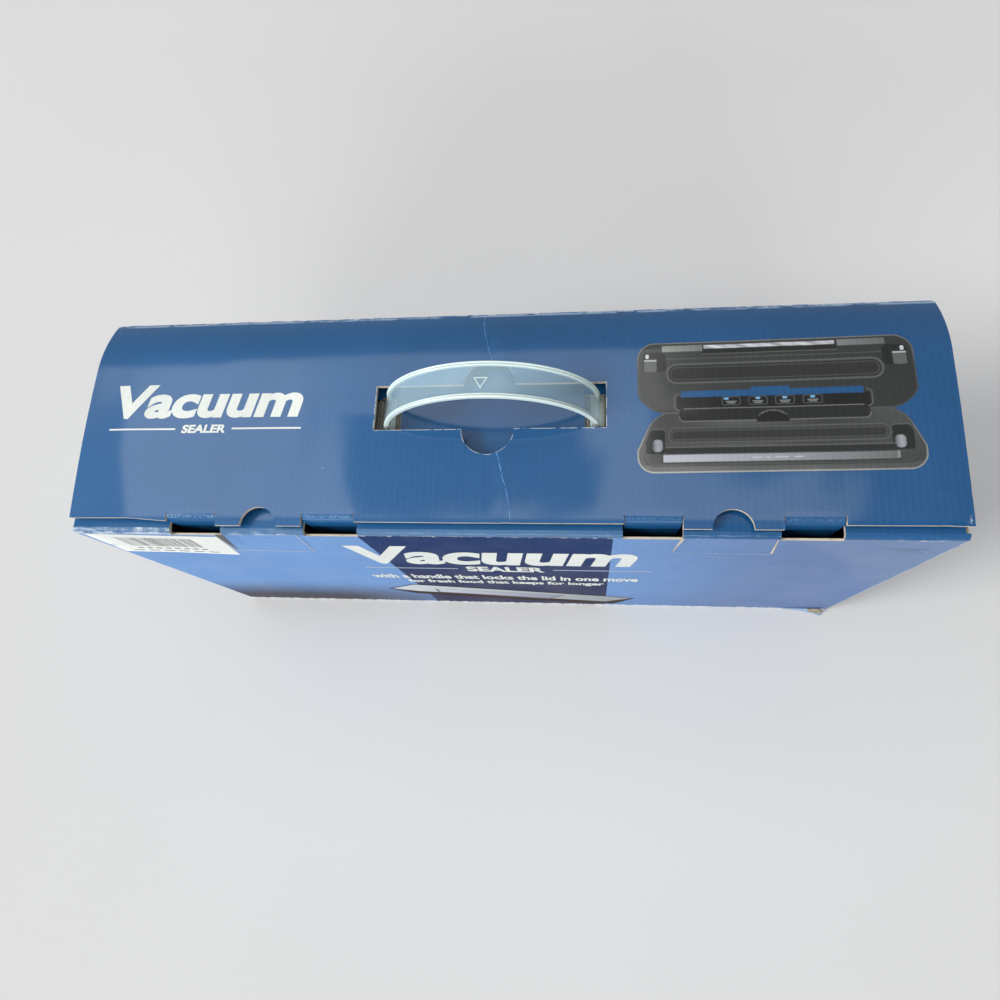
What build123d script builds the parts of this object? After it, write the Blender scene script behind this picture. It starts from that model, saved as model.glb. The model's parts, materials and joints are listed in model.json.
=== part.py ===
"""A vacuum packing machine in its retail carton.

The carton is one folded sheet of printed corrugated board. Its double top has an inner flap,
hinged on the front wall, that carries a plastic strap handle, and an outer lid, hinged on the back
wall, that drops over the handle and locks with four tabs. The machine stands inside on its hinge
edge, between two foam end caps, with its front edge up and its lid towards the back wall.

Row frame: millimetres, origin on the floor at the middle of the carton, +X to the right along the
carton, +Y to the back wall, +Z up. The machine is drawn as it stands on a table, in its own frame
(+X right, front edge at -Y, lid at +Z), and stow() turns it up on its edge into the carton.
"""

from build123d import *
import math
import os

os.makedirs("parts", exist_ok=True)

# ---- carton ---------------------------------------------------------------------------------
CARTON_L, CARTON_D, CARTON_H = 430.0, 121.0, 201.0  # outside, to the top creases
BOARD = 2.0  # thickness of the corrugated board
HALF_L, HALF_D = CARTON_L / 2, CARTON_D / 2
WALL_TOP = CARTON_H - BOARD  # where the walls end and the top flaps start
FLAP_GAP = 0.5  # room between a flap and the wall beside it

TAB_X = (78.0, 149.0)  # lock tabs, each side of the middle
TAB_W, TAB_DEEP = 26.0, 11.5
SLOT_W, SLOT_D = 27.5, 8.5  # slots for the tabs in the inner flap's crease
NOTCH_X, NOTCH_R = 113.5, 9.3  # thumb notches in the lid's front edge
TONGUE_TOP, TONGUE_FOOT, TONGUE_H = 40.0, 44.0, 33.0  # cut tongue between each pair of tabs
CUT = 0.5  # width of a knife cut through the board
GLUE_W, GLUE_SLANT, GLUE_T = 30.0, 10.0, 1.2  # glued seam inside the left wall, its board pressed flat
SHORT_FLAP = 55.0  # reach of the bottom's end flaps

INNER_REACH, INNER_CORNER_R = 88.0, 12.0  # inner flap: length from the front crease, far corners
WINDOW_L, WINDOW_FRONT, WINDOW_BACK = 117.0, -8.8, 15.0  # the lid's window for the handle
THUMB_R = 13.0  # half-round thumb cuts in the window's long edges

# The lid bows up between its crease and its locked front edge: points on its middle surface.
LID_CREASE = (58.6, 200.3)
LID_SHOULDER_MID, LID_SHOULDER = (46.5, 205.4), (28.0, 208.3)
LID_FRONT = (-58.0, 204.6)
LID_EDGE_Y = -55.5  # the lid's front edge, apart from the notched pieces, which reach LID_FRONT
EDGE_TRIM = 10.0  # depth of the cut that takes the front edge back to LID_EDGE_Y
TAB_Y, TAB_BEND = -56.0, 3.0
TAB_ROOT = (LID_FRONT[0] + 6.5, LID_FRONT[1] + 0.75)  # where a tab leaves the lid
TAB_KNEE_Z = LID_FRONT[1] + 0.2

# ---- strap handle ---------------------------------------------------------------------------
STRAP_SPAN, STRAP_RISE, STRAP_W, STRAP_T = 104.0, 37.0, 18.0, 1.6
RIB_W, RIB_T, RIB_GAP = 0.9, 2.6, 0.6  # a pair of thin ribs along each edge
LEG = 2.1  # straight leg of the strap down through the inner flap
HANDLE_Y = 2.4  # middle of the strap, across the carton
WEB_IN = 0.2  # the web stops this far inside the ribs' outer edges
FOOT_L, FOOT_W, FOOT_T, FOOT_CORNER_R = 14.0, 26.0, 1.8, 2.0
HANDLE_SLOT_L, HANDLE_SLOT_W = 11.0, 20.0  # slots of the inner flap: along X and across

# ---- machine, in its own table frame --------------------------------------------------------
MACHINE_L, MACHINE_D, MACHINE_R = 396.0, 166.0, 28.0
SKIN = 2.5  # moulded wall thickness
FOOT_H, COVER_TOP, DECK, LID_RIM, LID_TOP = 3.0, 12.0, 44.0, 45.0, 80.0
HALF_ML, HALF_MD = MACHINE_L / 2, MACHINE_D / 2

CHAMBER_Y, CHAMBER_L, CHAMBER_W, CHAMBER_DEEP = 6.0, 272.0, 28.0, 9.0
GASKET_W, GASKET_DEEP = 7.0, 3.0
BAR_Y, BAR_L, BAR_W = -40.0, 294.0, 11.0  # sealing bar
GUIDE_Y, GUIDE_W = -22.0, 5.0  # bag guide groove

CONSOLE_Y, CONSOLE_L, CONSOLE_W, CONSOLE_TOP = 54.0, 256.0, 28.0, 76.0
FASCIA_T = 2.0
KEY_X = (-52.0, -14.0, 24.0, 62.0)
KEY_L, KEY_W, KEY_GAP, KEY_R = 27.0, 15.0, 0.35, 3.0
KEY_Y, KEY_TRAVEL = CONSOLE_Y - 1.5, 0.8
LIGHT_Y, LIGHT_L, LIGHT_W = CONSOLE_Y + 9.5, 6.0, 2.0
WINDOW_GAP = 3.0  # the lid's window stands this far off the console

SHAFT_Y, SHAFT_Z, SHAFT_R = -60.0, 60.0, 3.0  # lock shaft in the lid
POCKET_X, POCKET_L = 166.0, 26.0  # side pockets for the lock hooks
POCKET_FRONT, POCKET_BACK, POCKET_FLOOR = -76.0, -38.0, 14.0
ROLLER_Y, ROLLER_Z, ROLLER_R = -48.0, 26.0, 4.0
HOOK_T = 6.0
HANDLE_HALF = 93.0
HANDLE_UP = 14.0  # the lock handle rests raised by this angle

HINGE_Y, HINGE_Z = 77.5, 44.5
PIN_R, KNUCKLE_R, FIT = 2.0, 4.4, 0.05
KNUCKLE_BASE, KNUCKLE_LID = (125.0, 139.0), (140.0, 154.0)

STOW_Y, STOW_Z = -50.0, 95.0  # where the table frame's origin goes in the carton
END_CAP_IN, END_CAP_TOP = 184.0, 188.0


def save(piece, label):
    """Names a finished piece and writes it where it stands in the row frame."""
    piece.label = label
    export_step(piece, f"parts/{label}.step")


def stow(part):
    """Turns a piece of the machine up on its hinge edge and puts it in the carton."""
    return part.moved(Location((0, STOW_Y, STOW_Z), (-90, 0, 0)))


def mirror_pair(x):
    """The two places at x and -x."""
    return [(-x, 0), (x, 0)]


# ============================ the carton's walls =============================================
with BuildPart() as front_panel:
    with BuildSketch(Plane.XZ.offset(HALF_D)) as front_outline:
        with Locations((0, WALL_TOP / 2)):
            Rectangle(CARTON_L, WALL_TOP)
        for side in (-1, 1):
            for edge in (-1, 1):
                top = side * NOTCH_X + edge * TONGUE_TOP / 2
                foot = side * NOTCH_X + edge * TONGUE_FOOT / 2
                with BuildLine():
                    Polyline(
                        (top - CUT / 2, WALL_TOP),
                        (top + CUT / 2, WALL_TOP),
                        (foot + CUT / 2, WALL_TOP - TONGUE_H),
                        (foot - CUT / 2, WALL_TOP - TONGUE_H),
                        close=True,
                    )
                make_face(mode=Mode.SUBTRACT)
    extrude(amount=-BOARD)
save(front_panel.part, "front_panel")

with BuildPart() as back_panel:
    with BuildSketch(Plane.XZ.offset(-HALF_D)):
        with Locations((0, WALL_TOP / 2)):
            Rectangle(CARTON_L, WALL_TOP)
    extrude(amount=BOARD)
save(back_panel.part, "back_panel")

for side, label in ((-1, "left_panel"), (1, "right_panel")):
    with BuildPart() as end_panel:
        with BuildSketch(Plane.YZ.offset(side * HALF_L)):
            with Locations((0, WALL_TOP / 2)):
                Rectangle(CARTON_D - 2 * BOARD, WALL_TOP)
        extrude(amount=-side * BOARD)
    save(end_panel.part, label)

with BuildPart() as glue_flap:
    with BuildSketch(Plane.YZ.offset(-HALF_L + BOARD)):
        with BuildLine():
            inside = HALF_D - BOARD
            Polyline(
                (inside, 2 * BOARD),
                (inside, WALL_TOP),
                (inside - GLUE_W, WALL_TOP - GLUE_SLANT),
                (inside - GLUE_W, 2 * BOARD + GLUE_SLANT),
                close=True,
            )
        make_face()
    extrude(amount=GLUE_T)
save(glue_flap.part, "glue_flap")

# ---- bottom: two short end flaps inside, two long flaps outside that meet in the middle -------
for side, label in ((-1, "bottom_left_flap"), (1, "bottom_right_flap")):
    with BuildPart() as short_flap:
        with BuildSketch(Plane.XY.offset(BOARD)):
            with Locations((side * (HALF_L - BOARD - SHORT_FLAP / 2), 0)):
                Rectangle(SHORT_FLAP, CARTON_D - 2 * BOARD - 2 * FLAP_GAP)
        extrude(amount=BOARD)
    save(short_flap.part, label)

for side, label in ((-1, "bottom_front_flap"), (1, "bottom_back_flap")):
    with BuildPart() as long_flap:
        reach = HALF_D - BOARD - FLAP_GAP / 2
        with BuildSketch(Plane.XY):
            with Locations((0, side * (FLAP_GAP / 2 + reach / 2))):
                Rectangle(CARTON_L - 2 * BOARD - 2 * FLAP_GAP, reach)
        extrude(amount=BOARD)
    save(long_flap.part, label)

# ---- inner top flap: hinged on the front wall, slotted for the tabs and the handle ------------
with BuildPart() as inner_flap:
    with BuildSketch(Plane.XY.offset(WALL_TOP)):
        with Locations((0, -HALF_D + INNER_REACH / 2)):
            Rectangle(CARTON_L - 2 * BOARD, INNER_REACH)
        for x in TAB_X:
            with Locations(*[(p[0], -HALF_D + SLOT_D / 2) for p in mirror_pair(x)]):
                Rectangle(SLOT_W, SLOT_D, mode=Mode.SUBTRACT)
        with Locations(*[(p[0], HANDLE_Y) for p in mirror_pair(STRAP_SPAN / 2)]):
            Rectangle(HANDLE_SLOT_L, HANDLE_SLOT_W, mode=Mode.SUBTRACT)
    extrude(amount=BOARD)
    far_corners = inner_flap.edges().filter_by(Axis.Z).group_by(Axis.Y)[-1]
    fillet(far_corners, radius=INNER_CORNER_R)
save(inner_flap.part, "inner_flap")

# ---- outer lid: bowed, with the handle's window, two thumb notches and four lock tabs ---------
LID_HALF = HALF_L - FLAP_GAP
with BuildPart() as outer_lid:
    with BuildSketch(Plane.YZ.offset(-LID_HALF)):
        with BuildLine():
            shoulder = ThreePointArc(LID_CREASE, LID_SHOULDER_MID, LID_SHOULDER)
            TangentArc(LID_SHOULDER, LID_FRONT, tangent=shoulder % 1)
        trace(line_width=BOARD)
    extrude(amount=2 * LID_HALF)
    with BuildSketch(Plane.XY.offset(WALL_TOP)):
        window_y = (WINDOW_FRONT + WINDOW_BACK) / 2
        with Locations((0, window_y)):
            Rectangle(WINDOW_L, WINDOW_BACK - WINDOW_FRONT)
        with Locations((0, WINDOW_FRONT), (0, WINDOW_BACK)):
            Circle(THUMB_R)
        with Locations(*[(p[0], LID_FRONT[0]) for p in mirror_pair(NOTCH_X)]):
            Circle(NOTCH_R)
        trim_y = LID_EDGE_Y - EDGE_TRIM / 2
        with Locations((0, trim_y)):
            Rectangle(2 * (TAB_X[0] + TAB_W / 2), EDGE_TRIM)
        outer_in = TAB_X[1] - TAB_W / 2
        with Locations(*[(p[0], trim_y) for p in mirror_pair((outer_in + HALF_L) / 2)]):
            Rectangle(HALF_L - outer_in, EDGE_TRIM)
    extrude(amount=4 * TAB_DEEP, mode=Mode.SUBTRACT)
    for x in TAB_X:
        for side in (-1, 1):
            with BuildSketch(Plane.YZ.offset(side * x - TAB_W / 2)):
                with BuildLine():
                    FilletPolyline(
                        TAB_ROOT,
                        (TAB_Y, TAB_KNEE_Z),
                        (TAB_Y, WALL_TOP - TAB_DEEP),
                        radius=TAB_BEND,
                    )
                trace(line_width=BOARD)
            extrude(amount=TAB_W)
save(outer_lid.part, "outer_lid")

# ---- strap handle -----------------------------------------------------------------------------
with BuildPart() as carry_handle:
    rim_out = STRAP_W / 2
    bands = [(0.0, STRAP_W - 2 * WEB_IN, STRAP_T)]
    for edge in (-1, 1):
        for row in (0, 1):
            offset_y = edge * (rim_out - RIB_W / 2 - row * (RIB_W + RIB_GAP))
            bands.append((offset_y, RIB_W, RIB_T))
    for middle_y, wide, thick in bands:
        with BuildSketch(Plane.XZ.offset(-middle_y - wide / 2)):
            Ellipse(STRAP_SPAN / 2 + thick / 2, STRAP_RISE + thick / 2)
            Ellipse(STRAP_SPAN / 2 - thick / 2, STRAP_RISE - thick / 2, mode=Mode.SUBTRACT)
            with Locations((0, -STRAP_RISE)):
                Rectangle(2 * STRAP_SPAN, 2 * STRAP_RISE, mode=Mode.SUBTRACT)
            with Locations(*[(p[0], -LEG / 2) for p in mirror_pair(STRAP_SPAN / 2)]):
                Rectangle(thick, LEG)
        extrude(amount=wide)
    with BuildSketch(Plane.XY.offset(-LEG - FOOT_T)):
        with Locations(*mirror_pair(STRAP_SPAN / 2)):
            RectangleRounded(FOOT_L, FOOT_W, FOOT_CORNER_R)
    extrude(amount=FOOT_T)
save(carry_handle.part.moved(Location((0, HANDLE_Y, CARTON_H))), "carry_handle")

# ---- barcode label on the front wall ----------------------------------------------------------
LABEL_L, LABEL_H, LABEL_T = 70.0, 36.0, 0.15
LABEL_IN, LABEL_Z, LABEL_R = 1.5, 172.0, 1.5  # from the left edge, height of its middle, corners
with BuildPart() as barcode_label:
    with BuildSketch(Plane.XZ.offset(HALF_D)):
        with Locations((-HALF_L + LABEL_IN + LABEL_L / 2, LABEL_Z)):
            RectangleRounded(LABEL_L, LABEL_H, LABEL_R)
    extrude(amount=LABEL_T)
save(barcode_label.part, "barcode_label")

# ---- foam end caps: each holds one end of the machine's base ----------------------------------
CAP_R, CAP_FIT = 5.0, 0.2  # corners, and room to the carton's walls and floor
CAP_END_GAP = 1.6  # the glued seam runs between the left cap and the wall
CAP_GRIP = 0.6  # the cap's hollow starts this far behind the machine's underside
CAP_BACK = 3.0  # the caps stop this far short of the machine's lid
for side, label in ((-1, "end_cap_left"), (1, "end_cap_right")):
    with BuildPart() as end_cap:
        cap_out = HALF_L - BOARD - CAP_END_GAP
        cap_floor = 2 * BOARD + CAP_FIT
        cap_front = HALF_D - BOARD - CAP_FIT
        cap_depth = cap_front + STOW_Y + DECK - CAP_BACK
        with BuildSketch(Plane.XZ.offset(cap_front)):
            with Locations((side * (END_CAP_IN + cap_out) / 2, (cap_floor + END_CAP_TOP) / 2)):
                RectangleRounded(cap_out - END_CAP_IN, END_CAP_TOP - cap_floor, CAP_R)
        extrude(amount=-cap_depth)
        with BuildSketch(Plane.XZ.offset(-STOW_Y - FOOT_H + CAP_GRIP)):
            with Locations((0, STOW_Z)):
                RectangleRounded(MACHINE_L + 1.0, MACHINE_D + 1.0, MACHINE_R)
        extrude(amount=-cap_depth, mode=Mode.SUBTRACT)
    save(end_cap.part, label)

# ============================ the machine's base =============================================
COVER_SCREWS = [(-130, -64), (130, -64), (-168, 62), (168, 62)]
BOSS_R, PILOT_R, SCREW_R, SCREW_LENGTH = 4.0, 1.6, 1.5, 16.0
GROOVE_PLAY = 2.0  # the gasket's groove is this much longer and wider than its loop
GROOVE_L = CHAMBER_L + 2 * GASKET_W + GROOVE_PLAY
GROOVE_W = CHAMBER_W + 2 * GASKET_W + GROOVE_PLAY
TRAY_L, TRAY_W = GROOVE_L + 4.0, GROOVE_W + 4.0  # outside of the chamber's tray
BAR_DEEP, BAR_PLAY = 4.0, 1.0  # the sealing bar's channel
GUIDE_DEEP = 1.2
POCKET_WALL = 2.0
INLET_Y, INLET_Z, INLET_L, INLET_W = 40.0, 27.0, 21.0, 13.0
KNUCKLE_CLEAR, KNUCKLE_SIDE = 0.8, 0.6  # room round and beside the other half's knuckles

with BuildPart() as base_housing:
    with BuildSketch(Plane.XY.offset(COVER_TOP)):
        RectangleRounded(MACHINE_L, MACHINE_D, MACHINE_R)
    extrude(amount=DECK - COVER_TOP)
    with BuildSketch(Plane.XY.offset(COVER_TOP)):
        RectangleRounded(MACHINE_L - 2 * SKIN, MACHINE_D - 2 * SKIN, MACHINE_R - SKIN)
    extrude(amount=DECK - COVER_TOP - SKIN, mode=Mode.SUBTRACT)
    # the vacuum chamber's tray, with the gasket's groove round it, hangs below the deck
    with BuildSketch(Plane.XY.offset(DECK - CHAMBER_DEEP - SKIN)):
        with Locations((0, CHAMBER_Y)):
            SlotOverall(TRAY_L, TRAY_W)
    extrude(amount=CHAMBER_DEEP)
    with BuildSketch(Plane.XY.offset(DECK - CHAMBER_DEEP)):
        with Locations((0, CHAMBER_Y)):
            SlotOverall(CHAMBER_L, CHAMBER_W)
    extrude(amount=CHAMBER_DEEP, mode=Mode.SUBTRACT)
    with BuildSketch(Plane.XY.offset(DECK - GASKET_DEEP)):
        with Locations((0, CHAMBER_Y)):
            SlotOverall(GROOVE_L, GROOVE_W)
            SlotOverall(CHAMBER_L + GROOVE_PLAY, CHAMBER_W + GROOVE_PLAY, mode=Mode.SUBTRACT)
    extrude(amount=GASKET_DEEP, mode=Mode.SUBTRACT)
    # channel of the sealing bar and the bag guide groove behind it
    with BuildSketch(Plane.XY.offset(DECK - BAR_DEEP - 2)):
        with Locations((0, BAR_Y)):
            Rectangle(BAR_L + 6, BAR_W + 6)
    extrude(amount=BAR_DEEP)
    with BuildSketch(Plane.XY.offset(DECK - BAR_DEEP)):
        with Locations((0, BAR_Y)):
            Rectangle(BAR_L + BAR_PLAY, BAR_W + BAR_PLAY)
    extrude(amount=BAR_DEEP, mode=Mode.SUBTRACT)
    with BuildSketch(Plane.XY.offset(DECK - GUIDE_DEEP)):
        with Locations((0, GUIDE_Y)):
            SlotOverall(BAR_L - 10, GUIDE_W)
    extrude(amount=GUIDE_DEEP, mode=Mode.SUBTRACT)
    # side pockets for the lock hooks, boxed in below the deck
    pocket_y = (POCKET_FRONT + POCKET_BACK) / 2
    pocket_w = POCKET_BACK - POCKET_FRONT
    with BuildSketch(Plane.XY.offset(COVER_TOP)):
        with Locations(*[(p[0], pocket_y) for p in mirror_pair(POCKET_X)]):
            Rectangle(POCKET_L + 2 * POCKET_WALL, pocket_w + 2 * POCKET_WALL)
        RectangleRounded(MACHINE_L - 2, MACHINE_D - 2, MACHINE_R - 1, mode=Mode.INTERSECT)
    extrude(amount=DECK - COVER_TOP)
    with BuildSketch(Plane.XY.offset(POCKET_FLOOR)):
        with Locations(*[(p[0], pocket_y) for p in mirror_pair(POCKET_X)]):
            Rectangle(POCKET_L, pocket_w)
    extrude(amount=DECK - POCKET_FLOOR, mode=Mode.SUBTRACT)
    # way up into the console, seats of the catch rollers, and the power inlet in the right end
    with BuildSketch(Plane.XY.offset(DECK - SKIN)):
        with Locations((0, CONSOLE_Y)):
            Rectangle(CONSOLE_L - 60, CONSOLE_W - 12)
    extrude(amount=SKIN, mode=Mode.SUBTRACT)
    for side in (-1, 1):
        with BuildSketch(Plane.YZ.offset(side * POCKET_X - POCKET_L / 2 - POCKET_WALL)):
            with Locations((ROLLER_Y, ROLLER_Z)):
                Circle(PIN_R + FIT)
        extrude(amount=POCKET_L + 2 * POCKET_WALL, mode=Mode.SUBTRACT)
    with BuildSketch(Plane.YZ.offset(HALF_ML - SKIN)):
        with Locations((INLET_Y, INLET_Z)):
            RectangleRounded(INLET_L, INLET_W, 2)
    extrude(amount=SKIN, mode=Mode.SUBTRACT)
    # bosses that take the cover's screws
    with BuildSketch(Plane.XY.offset(COVER_TOP)):
        with Locations(*COVER_SCREWS):
            Circle(BOSS_R)
    extrude(amount=DECK - COVER_TOP - 1)
    with BuildSketch(Plane.XY.offset(COVER_TOP)):
        with Locations(*COVER_SCREWS):
            Circle(PILOT_R)
    extrude(amount=SCREW_LENGTH, mode=Mode.SUBTRACT)
    # hinge knuckles on the back edge, and room for the lid's
    for side in (-1, 1):
        lid_start = min(side * KNUCKLE_LID[0], side * KNUCKLE_LID[1])
        with BuildSketch(Plane.YZ.offset(lid_start - KNUCKLE_SIDE)):
            with Locations((HINGE_Y, HINGE_Z)):
                Circle(KNUCKLE_R + KNUCKLE_CLEAR)
        extrude(amount=KNUCKLE_LID[1] - KNUCKLE_LID[0] + 2 * KNUCKLE_SIDE, mode=Mode.SUBTRACT)
        with BuildSketch(Plane.YZ.offset(min(side * KNUCKLE_BASE[0], side * KNUCKLE_BASE[1]))):
            with Locations((HINGE_Y, HINGE_Z)):
                Circle(KNUCKLE_R)
        extrude(amount=KNUCKLE_BASE[1] - KNUCKLE_BASE[0])
        with BuildSketch(Plane.YZ.offset(min(side * KNUCKLE_BASE[0], side * KNUCKLE_LID[1]))):
            with Locations((HINGE_Y, HINGE_Z)):
                Circle(PIN_R + FIT)
        extrude(amount=KNUCKLE_LID[1] - KNUCKLE_BASE[0], mode=Mode.SUBTRACT)
save(stow(base_housing.part), "base_housing")

with BuildPart() as base_cover:
    with BuildSketch(Plane.XY.offset(FOOT_H)):
        RectangleRounded(MACHINE_L - 6, MACHINE_D - 6, MACHINE_R - 3)
    with BuildSketch(Plane.XY.offset(COVER_TOP - 0.05)):
        RectangleRounded(MACHINE_L, MACHINE_D, MACHINE_R)
    loft()
    with BuildSketch(Plane.XY.offset(FOOT_H + SKIN)):
        RectangleRounded(MACHINE_L - 12, MACHINE_D - 12, MACHINE_R - 6)
    extrude(amount=COVER_TOP, mode=Mode.SUBTRACT)
    with BuildSketch(Plane.XY.offset(FOOT_H)):
        with Locations(*COVER_SCREWS):
            Circle(BOSS_R)
    extrude(amount=COVER_TOP - FOOT_H - 0.05)
    with BuildSketch(Plane.XY.offset(FOOT_H)):
        with Locations(*COVER_SCREWS):
            Circle(1.8)
    extrude(amount=COVER_TOP, mode=Mode.SUBTRACT)
    with BuildSketch(Plane.XY.offset(FOOT_H)):
        with Locations(*COVER_SCREWS):
            Circle(3.2)
    extrude(amount=3, mode=Mode.SUBTRACT)
    # air vents below the pump
    with BuildSketch(Plane.XY.offset(FOOT_H)):
        with GridLocations(6, 0, 12, 1):
            with Locations((60, 30)):
                SlotOverall(26, 2.4, rotation=90)
    extrude(amount=SKIN, mode=Mode.SUBTRACT)
save(stow(base_cover.part), "base_cover")

with BuildPart() as base_screws:
    with BuildSketch(Plane.XY.offset(FOOT_H + 0.8)):
        with Locations(*COVER_SCREWS):
            Circle(3.0)
    extrude(amount=2.1)
    with BuildSketch(Plane.XY.offset(FOOT_H + 2.8)):
        with Locations(*COVER_SCREWS):
            Circle(SCREW_R)
    extrude(amount=SCREW_LENGTH)
    with BuildSketch(Plane.XY.offset(FOOT_H + 0.8)):
        with Locations(*COVER_SCREWS):
            Rectangle(3.6, 0.7)
            Rectangle(0.7, 3.6)
    extrude(amount=1.0, mode=Mode.SUBTRACT)
save(stow(base_screws.part), "base_screws")

with BuildPart() as rubber_feet:
    with BuildSketch(Plane.XY):
        with GridLocations(2 * 150, 2 * 58, 2, 2):
            Circle(8)
    extrude(amount=FOOT_H)
    fillet(rubber_feet.edges().filter_by(GeomType.CIRCLE).group_by(Axis.Z)[0], radius=1.0)
save(stow(rubber_feet.part), "rubber_feet")

with BuildPart() as lower_gasket:
    with BuildSketch(Plane.XY.offset(DECK - GASKET_DEEP)):
        with Locations((0, CHAMBER_Y)):
            SlotOverall(GROOVE_L - 1, GROOVE_W - 1)
            SlotOverall(CHAMBER_L + GROOVE_PLAY + 1, CHAMBER_W + GROOVE_PLAY + 1, mode=Mode.SUBTRACT)
    extrude(amount=GASKET_DEEP + 1.6)
    fillet(lower_gasket.faces().sort_by(Axis.Z)[-1].edges(), radius=1.4)
save(stow(lower_gasket.part), "lower_gasket")

with BuildPart() as sealing_bar:
    with BuildSketch(Plane.XY.offset(DECK - 4)):
        with Locations((0, BAR_Y)):
            Rectangle(BAR_L, BAR_W)
    extrude(amount=4.3)
    chamfer(sealing_bar.edges().filter_by(Axis.X).group_by(Axis.Z)[-1], length=0.8)
save(stow(sealing_bar.part), "sealing_bar")

with BuildPart() as heater_tape:
    with BuildSketch(Plane.XY.offset(DECK + 0.3)):
        with Locations((0, BAR_Y)):
            Rectangle(BAR_L - 4, 5.0)
    extrude(amount=0.25)
save(stow(heater_tape.part), "heater_tape")

# ---- console: the raised strip with the keys, which shows through the lid's window -------------
with BuildPart() as control_console:
    with BuildSketch(Plane.XY.offset(DECK)):
        with Locations((0, CONSOLE_Y)):
            RectangleRounded(CONSOLE_L, CONSOLE_W, 4)
    extrude(amount=CONSOLE_TOP - DECK)
    with BuildSketch(Plane.XY.offset(DECK)):
        with Locations((0, CONSOLE_Y)):
            RectangleRounded(CONSOLE_L - 2 * SKIN, CONSOLE_W - 2 * SKIN, 1.5)
    extrude(amount=CONSOLE_TOP - DECK - SKIN, mode=Mode.SUBTRACT)
    with BuildSketch(Plane.XY.offset(CONSOLE_TOP - SKIN)):
        with Locations(*[(x, CONSOLE_Y) for x in KEY_X]):
            Rectangle(KEY_L - 6, KEY_W - 4)
    extrude(amount=SKIN, mode=Mode.SUBTRACT)
    # finger scoop in the middle of its front face
    with BuildSketch(Plane.XZ.offset(-(CONSOLE_Y - CONSOLE_W / 2))):
        with Locations((0, DECK + 14)):
            Circle(20)
        with Locations((0, DECK + 30)):
            Rectangle(60, 32, mode=Mode.SUBTRACT)
        with Locations((0, DECK - 20)):
            Rectangle(60, 40, mode=Mode.SUBTRACT)
    extrude(amount=-1.4, mode=Mode.SUBTRACT)
save(stow(control_console.part), "control_console")

with BuildPart() as console_fascia:
    with BuildSketch(Plane.XY.offset(CONSOLE_TOP)):
        with Locations((0, CONSOLE_Y)):
            RectangleRounded(CONSOLE_L - 1, CONSOLE_W - 1, 3.5)
        with Locations(*[(x, KEY_Y) for x in KEY_X]):
            RectangleRounded(KEY_L, KEY_W, KEY_R, mode=Mode.SUBTRACT)
        with Locations(*[(x, LIGHT_Y) for x in KEY_X]):
            Rectangle(LIGHT_L + 0.2, LIGHT_W + 0.2, mode=Mode.SUBTRACT)
    extrude(amount=FASCIA_T)
save(stow(console_fascia.part), "console_fascia")

KEY_NAMES = ("key_vacuum_seal", "key_food_type", "key_seal_only", "key_pulse")
for x, label in zip(KEY_X, KEY_NAMES):
    with BuildPart() as key:
        with BuildSketch(Plane.XY.offset(CONSOLE_TOP + KEY_TRAVEL + 0.1)):
            with Locations((x, KEY_Y)):
                RectangleRounded(KEY_L - 2 * KEY_GAP, KEY_W - 2 * KEY_GAP, KEY_R - 0.3)
        extrude(amount=FASCIA_T - KEY_TRAVEL + 0.2)
        fillet(key.faces().sort_by(Axis.Z)[-1].edges(), radius=0.35)
        with BuildSketch(Plane.XY.offset(CONSOLE_TOP - 4)):
            with Locations((x, CONSOLE_Y)):
                Circle(2.0)
        extrude(amount=5.0)
    save(stow(key.part), label)

with BuildPart() as indicator_lights:
    with BuildSketch(Plane.XY.offset(CONSOLE_TOP)):
        with Locations(*[(x, LIGHT_Y) for x in KEY_X]):
            Rectangle(LIGHT_L, LIGHT_W)
    extrude(amount=FASCIA_T + 0.1)
save(stow(indicator_lights.part), "indicator_lights")

# ---- works inside the base ---------------------------------------------------------------------
with BuildPart() as control_board:
    with BuildSketch(Plane.XY.offset(CONSOLE_TOP - 9)):
        with Locations((6, CONSOLE_Y)):
            Rectangle(160, 20)
    extrude(amount=1.6)
    with BuildSketch(Plane.XY.offset(CONSOLE_TOP - 7.4)):
        with Locations(*[(x, CONSOLE_Y) for x in KEY_X]):
            Rectangle(6.2, 6.2)
    extrude(amount=2.3)
    with BuildSketch(Plane.XY.offset(CONSOLE_TOP - 12)):
        with Locations((-30, CONSOLE_Y), (44, CONSOLE_Y)):
            Rectangle(12, 12)
    extrude(amount=3)
save(stow(control_board.part), "control_board")

POWER_Z, POWER_T = 8.0, 1.6
with BuildPart() as power_board:
    with BuildSketch(Plane.XY.offset(POWER_Z)):
        with Locations((-110, 52)):
            Rectangle(90, 44)
    extrude(amount=POWER_T)
    # two tall capacitors, then a relay and a heat sink
    with BuildSketch(Plane.XY.offset(POWER_Z + POWER_T)):
        with Locations((-138, 60), (-126, 42)):
            Circle(6)
    extrude(amount=18)
    with BuildSketch(Plane.XY.offset(POWER_Z + POWER_T)):
        with Locations((-100, 44), (-84, 62)):
            Rectangle(14, 12)
    extrude(amount=12)
save(stow(power_board.part), "power_board")

TRANSFORMER_XY = (-30.0, 52.0)
with BuildPart() as transformer:
    with BuildSketch(Plane.XY.offset(FOOT_H + SKIN + 0.1)):
        with Locations(TRANSFORMER_XY):
            Rectangle(44, 32)
    extrude(amount=30)
    with BuildSketch(Plane.XY.offset(9)):
        with Locations(TRANSFORMER_XY):
            RectangleRounded(30, 42, 5)
    extrude(amount=23)
save(stow(transformer.part), "transformer")

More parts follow.
